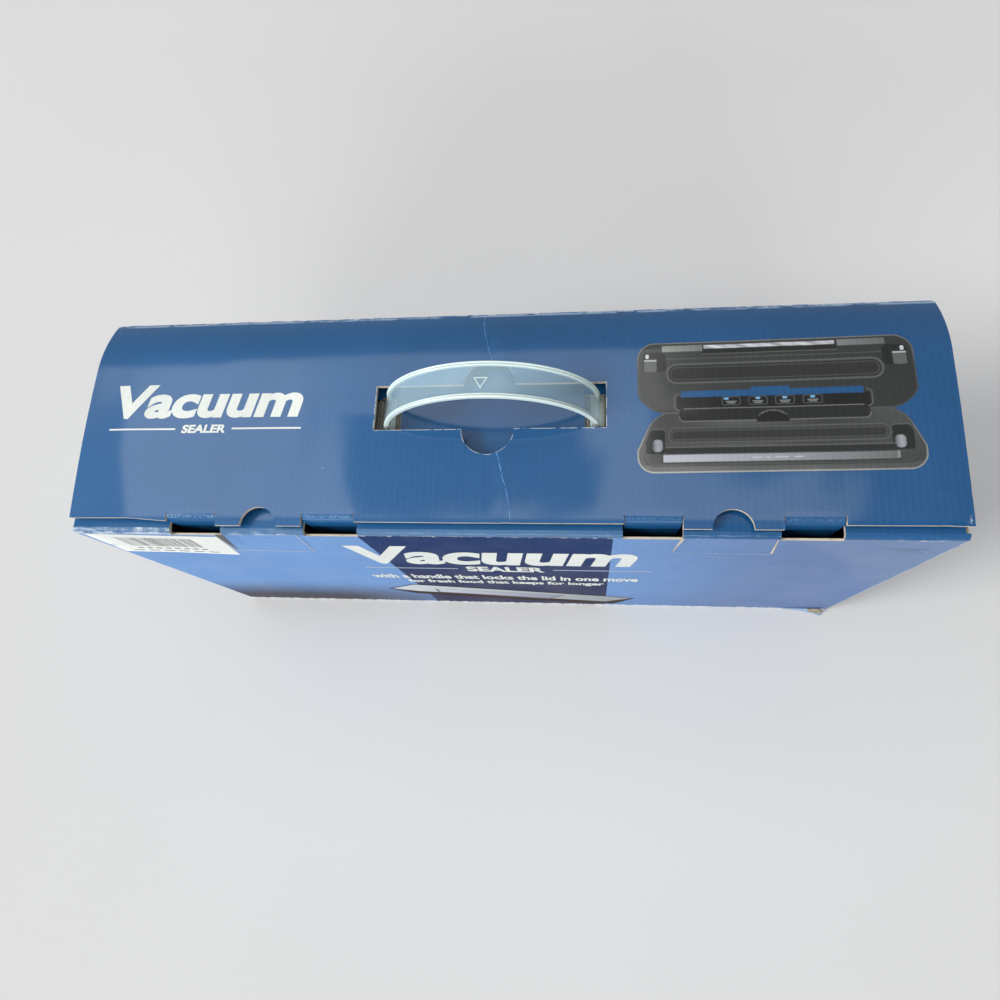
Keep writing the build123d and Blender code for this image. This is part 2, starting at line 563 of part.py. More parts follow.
MOTOR_X, DRIVE_Y, DRIVE_Z = 38.0, 58.0, 23.0
MOTOR_R, MOTOR_HALF, MOTOR_SHAFT_R = 14.0, 24.0, 1.5
PUMP_START = MOTOR_X + 23.5
NOZZLE_X, NOZZLE_R = MOTOR_X + 40, 2.6
with BuildPart() as pump_motor:
    with BuildSketch(Plane.YZ.offset(MOTOR_X - MOTOR_HALF)):
        with Locations((DRIVE_Y, DRIVE_Z)):
            Circle(MOTOR_R)
    extrude(amount=44)
    fillet(pump_motor.edges().filter_by(GeomType.CIRCLE), radius=2.0)
    with BuildSketch(Plane.YZ.offset(MOTOR_X + 19)):
        with Locations((DRIVE_Y, DRIVE_Z)):
            Circle(4.5)
    extrude(amount=4)
    with BuildSketch(Plane.YZ.offset(MOTOR_X + 20)):
        with Locations((DRIVE_Y, DRIVE_Z)):
            Circle(MOTOR_SHAFT_R)
    extrude(amount=16)
save(stow(pump_motor.part), "pump_motor")

with BuildPart() as vacuum_pump:
    with BuildSketch(Plane.YZ.offset(PUMP_START)):
        with Locations((DRIVE_Y, DRIVE_Z)):
            RectangleRounded(34, 32, 5)
    extrude(amount=34)
    with BuildSketch(Plane.YZ.offset(PUMP_START + 34)):
        with Locations((DRIVE_Y, DRIVE_Z)):
            Circle(13)
    extrude(amount=9)
    with BuildSketch(Plane.YZ.offset(PUMP_START)):
        with Locations((DRIVE_Y, DRIVE_Z)):
            Circle(MOTOR_SHAFT_R + 0.1)
    extrude(amount=20, mode=Mode.SUBTRACT)
    with BuildSketch(Plane.YZ.offset(PUMP_START)):
        with Locations((DRIVE_Y, DRIVE_Z)):
            Circle(6)
    extrude(amount=4, mode=Mode.SUBTRACT)
    # suction nozzle, pointing to the front
    with BuildSketch(Plane.XZ.offset(-(DRIVE_Y - 17))):
        with Locations((NOZZLE_X, DRIVE_Z)):
            Circle(NOZZLE_R)
    extrude(amount=8)
save(stow(vacuum_pump.part), "vacuum_pump")

HOSE_R, HOSE_Y, HOSE_UP_X = 4.0, 8.0, MOTOR_X + 70
with BuildPart() as suction_hose:
    with BuildLine() as hose_route:
        FilletPolyline(
            (NOZZLE_X, DRIVE_Y - 25.2, DRIVE_Z),
            (NOZZLE_X, HOSE_Y, DRIVE_Z),
            (HOSE_UP_X, HOSE_Y, DRIVE_Z),
            (HOSE_UP_X, HOSE_Y, DECK - CHAMBER_DEEP - SKIN - 0.2),
            radius=5.5,
        )
    with BuildSketch(Plane(hose_route.line @ 0, z_dir=hose_route.line % 0)):
        Circle(HOSE_R)
        Circle(NOZZLE_R, mode=Mode.SUBTRACT)
    sweep()
save(stow(suction_hose.part), "suction_hose")

VALVE_XY = (135.0, 30.0)
with BuildPart() as release_valve:
    with BuildSketch(Plane.XY.offset(6)):
        with Locations(VALVE_XY):
            RectangleRounded(22, 26, 2)
    extrude(amount=20)
    with BuildSketch(Plane.XY.offset(26)):
        with Locations(VALVE_XY):
            Circle(5)
    extrude(amount=5)
save(stow(release_valve.part), "release_valve")

with BuildPart() as power_inlet:
    with BuildSketch(Plane.YZ.offset(HALF_ML - 18)):
        with Locations((INLET_Y, INLET_Z)):
            RectangleRounded(INLET_L - 0.4, INLET_W - 0.4, 1.8)
    extrude(amount=17.6)
    with BuildSketch(Plane.YZ.offset(HALF_ML - 15)):
        with Locations((INLET_Y, INLET_Z)):
            SlotOverall(15, 8)
    extrude(amount=16, mode=Mode.SUBTRACT)
    with BuildSketch(Plane.YZ.offset(HALF_ML - 16)):
        with Locations((INLET_Y - 4, INLET_Z), (INLET_Y + 4, INLET_Z)):
            Circle(1.2)
    extrude(amount=12)
save(stow(power_inlet.part), "power_inlet")

for side, label in ((-1, "catch_roller_left"), (1, "catch_roller_right")):
    with BuildPart() as catch_roller:
        with BuildSketch(Plane.YZ.offset(side * POCKET_X - POCKET_L / 2 + 0.5)):
            with Locations((ROLLER_Y, ROLLER_Z)):
                Circle(ROLLER_R)
        extrude(amount=POCKET_L - 1)
        with BuildSketch(Plane.YZ.offset(side * POCKET_X - POCKET_L / 2 - 1.9)):
            with Locations((ROLLER_Y, ROLLER_Z)):
                Circle(PIN_R)
        extrude(amount=POCKET_L + 3.8)
    save(stow(catch_roller.part), label)

with BuildPart() as hinge_pins:
    for side in (-1, 1):
        start = min(side * (KNUCKLE_BASE[0] + 1), side * (KNUCKLE_LID[1] - 1))
        with BuildSketch(Plane.YZ.offset(start)):
            with Locations((HINGE_Y, HINGE_Z)):
                Circle(PIN_R)
        extrude(amount=KNUCKLE_LID[1] - KNUCKLE_BASE[0] - 2)
save(stow(hinge_pins.part), "hinge_pins")

# ============================ the machine's lid ==============================================
RECESS_HALF, RECESS_BACK, RECESS_FLOOR = 96.0, -69.5, 50.0
ARM_X, ARM_T = 86.0, 6.0
LID_ROUND = 9.0  # radius of the lid's upper edge
LINER_ROOM = 2.7  # height kept free at the rim for the liner
with BuildPart() as lid_shell:
    with BuildSketch(Plane.XY.offset(LID_RIM)):
        RectangleRounded(MACHINE_L, MACHINE_D, MACHINE_R)
    extrude(amount=LID_TOP - LID_RIM)
    fillet(lid_shell.faces().sort_by(Axis.Z)[-1].edges(), radius=LID_ROUND)
    with BuildSketch(Plane.XY.offset(LID_RIM)):
        RectangleRounded(MACHINE_L - 2 * SKIN, MACHINE_D - 2 * SKIN, MACHINE_R - SKIN)
    extrude(amount=LID_TOP - LID_RIM - LID_ROUND, mode=Mode.SUBTRACT)
    with BuildSketch(Plane.XY.offset(LID_TOP - LID_ROUND - 0.01)):
        RectangleRounded(MACHINE_L - 2 * LID_ROUND, MACHINE_D - 2 * LID_ROUND, MACHINE_R - LID_ROUND)
    extrude(amount=LID_ROUND + 0.01 - SKIN, mode=Mode.SUBTRACT)
    # window over the console
    with BuildSketch(Plane.XY.offset(LID_TOP - SKIN - 8)):
        with Locations((0, CONSOLE_Y)):
            RectangleRounded(CONSOLE_L + 2 * WINDOW_GAP, CONSOLE_W + 2 * WINDOW_GAP, 6)
        with Locations((0, CONSOLE_Y - CONSOLE_W / 2 - WINDOW_GAP)):
            RectangleRounded(54, 14, 3)
    extrude(amount=20, mode=Mode.SUBTRACT)
    # recess in the front edge for the lock handle, closed by a wall behind it
    with BuildSketch(Plane.XY.offset(RECESS_FLOOR)):
        with Locations((0, (RECESS_BACK - HALF_MD - 4) / 2)):
            Rectangle(2 * RECESS_HALF, HALF_MD + 4 + RECESS_BACK)
    extrude(amount=40, mode=Mode.SUBTRACT)
    with BuildSketch(Plane.XY.offset(LID_RIM + LINER_ROOM)):
        with Locations((0, RECESS_BACK + SKIN / 2)):
            Rectangle(2 * RECESS_HALF + 2 * SKIN, SKIN)
        cheek_x = RECESS_HALF + SKIN / 2
        with Locations(*[(p[0], (RECESS_BACK - HALF_MD) / 2) for p in mirror_pair(cheek_x)]):
            Rectangle(SKIN, HALF_MD + RECESS_BACK - 1)
    extrude(amount=LID_TOP - LID_RIM - LINER_ROOM - SKIN)
    with BuildSketch(Plane.XY.offset(LID_RIM + LINER_ROOM)):
        with Locations((0, (RECESS_BACK - HALF_MD) / 2)):
            Rectangle(2 * RECESS_HALF, HALF_MD + RECESS_BACK - 1)
    extrude(amount=RECESS_FLOOR - LID_RIM - LINER_ROOM)
    with BuildSketch(Plane.XZ.offset(-RECESS_BACK - SKIN - 1)):
        with Locations(*[(p[0], 64) for p in mirror_pair(ARM_X)]):
            Rectangle(ARM_T + 2, 27)
    extrude(amount=SKIN + 2, mode=Mode.SUBTRACT)
    for side in (-1, 1):
        base_start = min(side * KNUCKLE_BASE[0], side * KNUCKLE_BASE[1])
        lid_start = min(side * KNUCKLE_LID[0], side * KNUCKLE_LID[1])
        with BuildSketch(Plane.YZ.offset(base_start - KNUCKLE_SIDE)):
            with Locations((HINGE_Y, HINGE_Z)):
                Circle(KNUCKLE_R + KNUCKLE_CLEAR)
        extrude(amount=KNUCKLE_BASE[1] - KNUCKLE_BASE[0] + 2 * KNUCKLE_SIDE, mode=Mode.SUBTRACT)
        with BuildSketch(Plane.YZ.offset(lid_start)):
            with Locations((HINGE_Y, HINGE_Z)):
                Circle(KNUCKLE_R)
        extrude(amount=KNUCKLE_LID[1] - KNUCKLE_LID[0])
        with BuildSketch(Plane.YZ.offset(lid_start)):
            with Locations((HINGE_Y, HINGE_Z)):
                Circle(PIN_R + FIT)
        extrude(amount=KNUCKLE_LID[1] - KNUCKLE_LID[0], mode=Mode.SUBTRACT)
save(stow(lid_shell.part), "lid_shell")

LINER_T = 2.5
HINGE_CUT_L, HINGE_CUT_W = 330.0, 26.0  # the liner is cut away along the hinges
with BuildPart() as lid_liner:
    with BuildSketch(Plane.XY.offset(LID_RIM + 0.1)):
        RectangleRounded(MACHINE_L - 2 * SKIN - 0.6, MACHINE_D - 2 * SKIN - 0.6, MACHINE_R - SKIN)
        with Locations((0, CONSOLE_Y)):
            RectangleRounded(CONSOLE_L + 2 * WINDOW_GAP, CONSOLE_W + 2 * WINDOW_GAP, 6, mode=Mode.SUBTRACT)
        with Locations(*[(p[0], pocket_y) for p in mirror_pair(POCKET_X)]):
            Rectangle(POCKET_L, pocket_w, mode=Mode.SUBTRACT)
        with Locations((0, HALF_MD)):
            Rectangle(HINGE_CUT_L, HINGE_CUT_W, mode=Mode.SUBTRACT)
    extrude(amount=LINER_T)
    # dome of the vacuum chamber, with the gasket's groove round it
    with BuildSketch(Plane.XY.offset(LID_RIM + 0.1)):
        with Locations((0, CHAMBER_Y)):
            SlotOverall(TRAY_L, TRAY_W)
    extrude(amount=CHAMBER_DEEP + SKIN)
    with BuildSketch(Plane.XY.offset(LID_RIM + 0.1)):
        with Locations((0, CHAMBER_Y)):
            SlotOverall(CHAMBER_L, CHAMBER_W)
    extrude(amount=CHAMBER_DEEP, mode=Mode.SUBTRACT)
    with BuildSketch(Plane.XY.offset(LID_RIM + 0.1)):
        with Locations((0, CHAMBER_Y)):
            SlotOverall(GROOVE_L, GROOVE_W)
            SlotOverall(CHAMBER_L + GROOVE_PLAY, CHAMBER_W + GROOVE_PLAY, mode=Mode.SUBTRACT)
    extrude(amount=GASKET_DEEP + 1, mode=Mode.SUBTRACT)
    # seat of the pressure strip
    with BuildSketch(Plane.XY.offset(LID_RIM + 0.1)):
        with Locations((0, BAR_Y)):
            Rectangle(BAR_L + 8, BAR_W + 5)
    extrude(amount=7)
    with BuildSketch(Plane.XY.offset(LID_RIM + 0.1)):
        with Locations((0, BAR_Y)):
            Rectangle(BAR_L + 1, BAR_W)
    extrude(amount=4.5, mode=Mode.SUBTRACT)
save(stow(lid_liner.part), "lid_liner")

with BuildPart() as upper_gasket:
    with BuildSketch(Plane.XY.offset(DECK + 1.75)):
        with Locations((0, CHAMBER_Y)):
            SlotOverall(GROOVE_L - 1, GROOVE_W - 1)
            SlotOverall(CHAMBER_L + GROOVE_PLAY + 1, CHAMBER_W + GROOVE_PLAY + 1, mode=Mode.SUBTRACT)
    extrude(amount=LID_RIM + GASKET_DEEP - DECK - 0.75)
save(stow(upper_gasket.part), "upper_gasket")

with BuildPart() as pressure_strip:
    with BuildSketch(Plane.XY.offset(DECK + 0.8)):
        with Locations((0, BAR_Y)):
            RectangleRounded(BAR_L - 1, BAR_W - 2, 2)
    extrude(amount=LID_RIM + 4.3 - DECK - 0.8)
save(stow(pressure_strip.part), "pressure_strip")

TRIM_IN, TRIM_OUT, TRIM_H, TRIM_T, TRIM_Z = 99.0, 158.0, 15.0, 0.8, 61.0
for side, label in ((-1, "front_trim_left"), (1, "front_trim_right")):
    with BuildPart() as front_trim:
        with BuildSketch(Plane.XZ.offset(HALF_MD)):
            with Locations((side * (TRIM_IN + TRIM_OUT) / 2, TRIM_Z)):
                RectangleRounded(TRIM_OUT - TRIM_IN, TRIM_H, 1.5)
        extrude(amount=TRIM_T)
    save(stow(front_trim.part), label)

LINER_SCREWS = [(-184, 10), (184, 10), (-150, 66), (150, 66), (-110, -62), (110, -62)]
with BuildPart() as liner_screws:
    with BuildSketch(Plane.XY.offset(LID_RIM - 0.5)):
        with Locations(*LINER_SCREWS):
            Circle(2.6)
            Rectangle(3.2, 0.6, mode=Mode.SUBTRACT)
            Rectangle(0.6, 3.2, mode=Mode.SUBTRACT)
    extrude(amount=0.6)
save(stow(liner_screws.part), "liner_screws")

# ---- lock: handle bar, shaft and two hooks turn together ---------------------------------------
def raised(part):
    """Turns a lock piece, drawn in the locked position, up to where it rests unlocked."""
    pivot = Location((0, SHAFT_Y, SHAFT_Z))
    turned = pivot * Location((0, 0, 0), (-HANDLE_UP, 0, 0)) * pivot.inverse()
    return part.moved(turned)


with BuildPart() as lock_handle:
    with BuildSketch(Plane.YZ.offset(-HANDLE_HALF)):
        with BuildLine():
            Polyline(
                (-HALF_MD + 0.2, 56.5),
                (-HALF_MD + 0.2, 71.0),
                (-HALF_MD + 4.5, 78.5),
                (-76.0, 78.5),
                (-76.0, 75.5),
                (-HALF_MD + 6.0, 75.5),
                (-HALF_MD + 3.4, 70.0),
                (-HALF_MD + 3.4, 56.5),
                close=True,
            )
        make_face()
    extrude(amount=2 * HANDLE_HALF)
    for side in (-1, 1):
        with BuildSketch(Plane.YZ.offset(side * ARM_X - ARM_T / 2)):
            with BuildLine():
                Polyline(
                    (-HALF_MD + 3.0, 58.0),
                    (-HALF_MD + 3.0, 72.0),
                    (-HALF_MD + 6.0, 76.0),
                    (-76.0, 76.0),
                    (SHAFT_Y, SHAFT_Z + 5.5),
                    (SHAFT_Y, SHAFT_Z - 5.5),
                    (-74.0, 56.0),
                    close=True,
                )
            make_face()
            with Locations((SHAFT_Y, SHAFT_Z)):
                Circle(5.5)
                Circle(SHAFT_R, mode=Mode.SUBTRACT)
        extrude(amount=ARM_T)
save(stow(raised(lock_handle.part)), "lock_handle")

SHAFT_HALF = POCKET_X + HOOK_T / 2 + 3
with BuildPart() as lock_shaft:
    with BuildSketch(Plane.YZ.offset(-SHAFT_HALF)):
        with Locations((SHAFT_Y, SHAFT_Z)):
            Circle(SHAFT_R)
    extrude(amount=2 * SHAFT_HALF)
save(stow(raised(lock_shaft.part)), "lock_shaft")

for side, label in ((-1, "lock_hook_left"), (1, "lock_hook_right")):
    with BuildPart() as lock_hook:
        with BuildSketch(Plane.YZ.offset(side * POCKET_X - HOOK_T / 2)):
            arm_back = ROLLER_Y - ROLLER_R - 1.0
            lip_top = ROLLER_Z - ROLLER_R - 2.0
            with BuildLine():
                Polyline(
                    (SHAFT_Y - 5, SHAFT_Z),
                    (SHAFT_Y + 5, SHAFT_Z),
                    (arm_back, SHAFT_Z - 14),
                    (arm_back, lip_top),
                    (ROLLER_Y + 1.5, lip_top),
                    (ROLLER_Y + 1.5, lip_top - 2.5),
                    (arm_back - 2, lip_top - 4.2),
                    (arm_back - 6, lip_top - 2.5),
                    (arm_back - 6, SHAFT_Z - 14),
                    close=True,
                )
            make_face()
            with Locations((SHAFT_Y, SHAFT_Z)):
                Circle(6.5)
                Circle(SHAFT_R, mode=Mode.SUBTRACT)
        extrude(amount=HOOK_T)
    save(stow(raised(lock_hook.part)), label)

with BuildPart() as return_springs:
    for side in (-1, 1):
        with BuildSketch(Plane.YZ.offset(side * 120 - 7)):
            with Locations((SHAFT_Y, SHAFT_Z)):
                Circle(SHAFT_R + 2.1)
                Circle(SHAFT_R + 0.4, mode=Mode.SUBTRACT)
        extrude(amount=14)
save(stow(return_springs.part), "return_springs")
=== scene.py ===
"""The looks of the boxed vacuum packing machine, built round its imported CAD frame."""

import json
import math
import random

import bmesh
import bpy
import numpy as np
from mathutils import Matrix, Vector, noise
from mathutils.bvhtree import BVHTree


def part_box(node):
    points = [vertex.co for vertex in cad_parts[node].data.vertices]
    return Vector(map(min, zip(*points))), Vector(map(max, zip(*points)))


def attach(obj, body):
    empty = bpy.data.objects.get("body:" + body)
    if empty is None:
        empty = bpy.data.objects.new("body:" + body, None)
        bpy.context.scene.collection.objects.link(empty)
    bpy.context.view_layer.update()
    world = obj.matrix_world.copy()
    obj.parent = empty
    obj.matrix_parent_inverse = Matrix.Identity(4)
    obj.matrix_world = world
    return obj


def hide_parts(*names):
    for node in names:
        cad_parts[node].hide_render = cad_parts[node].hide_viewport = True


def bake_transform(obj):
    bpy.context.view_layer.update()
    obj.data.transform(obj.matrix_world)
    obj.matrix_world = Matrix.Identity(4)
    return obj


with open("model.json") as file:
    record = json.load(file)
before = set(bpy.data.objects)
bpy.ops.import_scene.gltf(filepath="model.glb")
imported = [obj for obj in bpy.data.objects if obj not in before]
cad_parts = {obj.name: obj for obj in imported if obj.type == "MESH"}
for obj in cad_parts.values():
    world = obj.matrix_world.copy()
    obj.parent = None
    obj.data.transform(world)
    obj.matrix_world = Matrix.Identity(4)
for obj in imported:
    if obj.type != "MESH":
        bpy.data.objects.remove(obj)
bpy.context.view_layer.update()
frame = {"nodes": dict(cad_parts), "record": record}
NODES = frame["nodes"]

MM = 0.001
BOARD = 0.0020
FLUTE = 0.0032  # pitch of the corrugation

# -------------------- places from the CAD
lid_lo, lid_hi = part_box("outer_lid")
front_lo, front_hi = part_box("front_panel")
flap_lo, flap_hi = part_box("inner_flap")
handle_lo, handle_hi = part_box("carry_handle")
label_lo, label_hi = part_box("barcode_label")
FRONT_Y = front_lo.y  # outer face of the front wall
CREASE_Z = flap_hi.z  # top of the inner flap
WALL_TOP = front_hi.z
NOTCH_X = 0.1135  # middles of the two tongues and of the notches above them
BACK_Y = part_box("back_panel")[1].y
HANDLE_MID = (handle_lo.y + handle_hi.y) / 2
WINDOW_MID, WINDOW_HALF, WINDOW_Y = -0.0007, 0.0574, (-0.0088, 0.0150)
THUMB_R = 0.0130  # of the cuts in the middle of the window's two long sides


# ==================== materials
class Field:
    """A number that varies over a piece. Arithmetic on it adds Math nodes to its material."""

    def __init__(self, mat, socket):
        self.mat = mat
        self.socket = socket

    def __mul__(self, other):
        return self.mat.math("MULTIPLY", self, other)

    def __add__(self, other):
        return self.mat.math("ADD", self, other)

    def __sub__(self, other):
        return self.mat.math("SUBTRACT", self, other)

    def __rsub__(self, other):
        return self.mat.math("SUBTRACT", other, self)

    def __abs__(self):
        return self.mat.math("ABSOLUTE", self)


class Mat:
    """A node material under construction. Its helpers add nodes and return what these give."""

    def __init__(self, name, **settings):
        self.m = bpy.data.materials.new(name)
        self.m.use_nodes = True
        self.t = self.m.node_tree
        self.b = next(n for n in self.t.nodes if n.type == "BSDF_PRINCIPLED")
        for key, value in settings.items():
            self.b.inputs[key.replace("_", " ")].default_value = value
        self.at = self.add("ShaderNodeTexCoord").outputs["Object"]
        place = self.add("ShaderNodeSeparateXYZ")
        self.put(self.at, place.inputs[0])
        self.x, self.y, self.z = (Field(self, socket) for socket in place.outputs)
        self.heights = []

    def add(self, kind, **props):
        n = self.t.nodes.new(kind)
        for key, value in props.items():
            setattr(n, key, value)
        return n

    def put(self, value, socket):
        if isinstance(value, Field):
            value = value.socket
        if isinstance(value, bpy.types.NodeSocket):
            self.t.links.new(value, socket)
        elif socket.type == "RGBA" and len(value) == 3:
            socket.default_value = (*value, 1)
        else:
            socket.default_value = value

    def set(self, name, value):
        self.put(value, self.b.inputs[name])

    def math(self, operation, *args):
        n = self.add("ShaderNodeMath", operation=operation)
        for value, socket in zip(args, n.inputs):
            self.put(value, socket)
        return Field(self, n.outputs[0])

    def most(self, first, *others):
        for other in others:
            first = self.math("MAXIMUM", first, other)
        return first

    def stretched(self, stretch):
        n = self.add("ShaderNodeMapping")
        self.put(self.at, n.inputs["Vector"])
        n.inputs["Scale"].default_value = stretch
        return n.outputs[0]

    def noise(self, scale, detail=3.0, rough=0.55, stretch=(1, 1, 1)):
        n = self.add("ShaderNodeTexNoise")
        self.put(self.stretched(stretch), n.inputs["Vector"])
        n.inputs["Scale"].default_value = scale
        n.inputs["Detail"].default_value = detail
        n.inputs["Roughness"].default_value = rough
        return Field(self, n.outputs["Fac"])

    def cells(self, scale):
        n = self.add("ShaderNodeTexVoronoi", feature="F1")
        self.put(self.stretched((1, 1, 1)), n.inputs["Vector"])
        n.inputs["Scale"].default_value = scale
        return Field(self, n.outputs["Distance"])

    def band(self, value, lo, hi, to_lo=0.0, to_hi=1.0):
        """to_lo below lo, to_hi above hi and a smooth step between them."""
        n = self.add("ShaderNodeMapRange", interpolation_type="SMOOTHSTEP")
        self.put(value, n.inputs["Value"])
        for name, number in zip(("From Min", "From Max", "To Min", "To Max"), (lo, hi, to_lo, to_hi)):
            n.inputs[name].default_value = number
        return Field(self, n.outputs[0])

    def fall(self, value, lo, hi):
        """1 below lo, 0 above hi."""
        return self.band(value, lo, hi, 1.0, 0.0)

    def mix(self, fac, a, b, blend="MIX"):
        n = self.add("ShaderNodeMix", data_type="RGBA", blend_type=blend)
        self.put(fac, n.inputs["Factor"])
        self.put(a, n.inputs[6])
        self.put(b, n.inputs[7])
        return n.outputs[2]

    def shade(self, colour, value, lo, hi):
        """colour, made lighter and darker by value, from lo to hi times."""
        grey = self.add("ShaderNodeCombineColor")
        level = self.band(value, 0.25, 0.75, lo, hi)
        for i in range(3):
            self.put(level, grey.inputs[i])
        return self.mix(1.0, colour, grey.outputs[0], "MULTIPLY")

    def lift(self, height, amount):
        """height, from 0 to 1, adds amount metres of relief."""
        self.heights.append(height * amount)

    def waves(self, along, pitch):
        """A wave from 0 to 1 with this pitch in metres."""
        return self.math("SINE", along * (2 * math.pi / pitch)) * 0.5 + 0.5

    def done(self):
        if self.heights:
            n = self.add("ShaderNodeBump")
            n.inputs["Strength"].default_value = 1.0
            n.inputs["Distance"].default_value = 1.0
            total, *others = self.heights
            for height in others:
                total = total + height
            self.put(total, n.inputs["Height"])
            self.put(n.outputs[0], self.b.inputs["Normal"])
        return self.m


DUST = (0.70, 0.74, 0.78)
WORN = (0.62, 0.68, 0.74)
COAT_ROUGH = 0.095  # of the varnish on the top


def dusty(k, colour, share=0.5):
    """Specks of white dust, a few of them larger."""
    fine = k.fall(k.cells(85), 0.020, 0.034) * k.band(k.noise(31, 1.0), 0.52, 0.58)
    large = k.fall(k.cells(24), 0.009, 0.014) * k.band(k.noise(12, 1.0), 0.50, 0.54)
    return k.mix(k.most(fine, large) * share, colour, DUST)


def finished_board(k, colour, gloss):
    """The board in its colour, with uneven gloss. The flutes show faintly through, with shallow dents."""
    k.set("Base Color", colour)
    k.set("Roughness", k.band(k.noise(30, 3.0), 0.3, 0.7, *gloss))
    k.lift(k.waves(k.x, FLUTE), 4.6e-5)
    k.lift(k.noise(14, 2.0), 1.4e-4)
    k.lift(k.noise(60, 2.0, stretch=(1, 0.3, 0.3)), 3.0e-5)
    k.lift(k.noise(260, 2.0, 0.5, (1, 0.10, 0.10)), 6.0e-5)
    k.lift(k.noise(900, 2.0), 2.0e-6)
    return k.done()


def mottled(k, colour, scale, slow, fine):
    """Uneven ink: slow changes of tone and the fine grain of the print."""
    return k.shade(k.shade(colour, k.noise(scale, 4.0), *slow), k.noise(1400, 1.0), *fine)


def plain_blue(k):
    """The deep blue of the top, painted lighter towards the left as a painted reflection of the lights
    overhead.
    """
    # painted reflection: the blue is lighter towards the left
    blue = k.mix(k.band(k.x, -0.22, 0.22), (0.010, 0.099, 0.268), (0.008, 0.074, 0.205))
    return mottled(k, blue, 9, (0.92, 1.10), (0.93, 1.08))


def cracked_fold(k, blue):
    """The pale crack that wanders along the lid's soft fold."""
    off = k.x - (0.0030 - k.y * 0.135) - k.math("SINE", k.y * 95) * 0.0016 + k.noise(160, 3.0) * 0.0012
    crack = k.fall(abs(off - 0.0006), 0.00010, 0.00036)
    crack = crack * k.band(k.noise(300, 3.0), 0.38, 0.60, 0.15, 0.75) * k.band(k.y, -0.02, 0.03, 1.0, 0.85)
    return k.mix(crack, blue, (0.13, 0.33, 0.68))


def rubbed_window(k, blue):
    """A pale line round the front half of the handle's window, its ends and its thumb cut."""
    x, y = abs(k.x - WINDOW_MID), k.y
    front, back = WINDOW_Y
    front_half = k.fall(y, 0.0, 0.001)
    sill = k.band(y, front - 0.0005, front - 0.0002) * front_half
    sill = sill * k.fall(x, WINDOW_HALF, WINDOW_HALF + 0.0004)
    rise = y - front
    reach = k.math("SQRT", x * x + rise * rise)
    thumb = k.fall(reach, THUMB_R + 0.0001, THUMB_R + 0.0004) * front_half
    ends = k.fall(x, WINDOW_HALF + 0.0002, WINDOW_HALF + 0.0005)
    ends = ends * k.band(x, WINDOW_HALF - 0.001, WINDOW_HALF - 0.0005)
    ends = ends * k.fall(y, back, back + 0.0002) * k.band(y, front - 0.0005, front)
    rub = k.band(k.noise(240, 3.0, 0.7), 0.40, 0.56)
    return k.mix(k.most(sill, thumb, ends) * rub * 0.8, blue, (0.58, 0.62, 0.64))


def tabs_with_painted_light(k, blue):
    """The lock tabs are painted a lighter blue than the top, standing in for the light on their faces, with a
    dotted painted highlight where they bend, fainter to the right.
    """
    y = k.y
    off = abs(abs(k.x - WINDOW_MID) - NOTCH_X)
    tabs = k.band(off, 0.0215, 0.0230) * k.fall(off, 0.0480, 0.0490)
    bend = k.band(y, -0.0542, -0.0536) * k.fall(y, -0.0528, -0.0520)
    # a dotted painted highlight along the tabs' bend, stronger on the left
    highlight_dots = k.band(k.noise(950, 3.0, 0.6), 0.42, 0.60) * k.band(k.x, -0.10, 0.02, 0.42, 0.16)
    blue = k.mix(bend * tabs * highlight_dots, blue, (0.28, 0.42, 0.56))
    # the tabs' faces painted a lighter blue, standing in for the light that falls on them
    return k.mix(tabs * k.fall(y, -0.0560, -0.0545), blue, (0.015, 0.135, 0.360))


def top_blue(k):
    """The blue of the lid, with its crack, its rubbed edges and a pale broken line along the back crease that
    is partly wear and partly a painted highlight.
    """
    x, y = k.x, k.y
    blue = cracked_fold(k, plain_blue(k))
    # a pale broken line along the back crease: partly wear, partly a painted highlight
    back = k.band(y, 0.0570, 0.0582) * k.band(k.noise(200, 3.0, 0.7, (0.3, 1, 1)), 0.40, 0.55)
    blue = k.mix(back * 0.75, blue, (0.36, 0.50, 0.66))
    blue = tabs_with_painted_light(k, rubbed_window(k, blue))
    corner = k.band(x, 0.2115, 0.2138) * k.fall(y, -0.054, -0.050)
    return dusty(k, k.mix(corner * k.band(k.noise(260, 3.0, 0.7), 0.48, 0.60), blue, WORN))


def print_top(name, ground=top_blue, worn=False):
    """The blue varnished print of the top, matt in front of the lid's bend."""
    k = Mat(name, Coat_IOR=1.60, Specular_IOR_Level=0.2)
    blue = ground(k)
    x, y = k.x, k.y
    k.set("Coat Weight", k.band(y, -0.0545, -0.0525, 0.22, 1.0))
    k.set("Coat Roughness", k.band(y, -0.005, 0.045, COAT_ROUGH, 0.18))
    if worn:
        rub = k.noise(55, 5.0, 0.7, (1, 0.5, 0.5)) * k.noise(420, 3.0, 0.7, (0.4, 1, 1))
        left = k.band(x, -0.168, -0.140, 1.0, 0.50)
        under_notch = k.fall(abs(x + NOTCH_X), 0.0195, 0.0225) * 0.42
        low = k.band(k.z, 0.1975, 0.2000, 1.0, 0.55)
        blue = k.mix(k.band(x, 0.02, 0.12, 0.50, 0.06), blue, (0.12, 0.22, 0.36))
        rub = rub * (k.most(left, under_notch + 0.30) * low)
        blue = k.mix(k.band(rub, 0.11, 0.22, 0.0, 0.8), blue, WORN)
    return finished_board(k, blue, (0.34, 0.46))


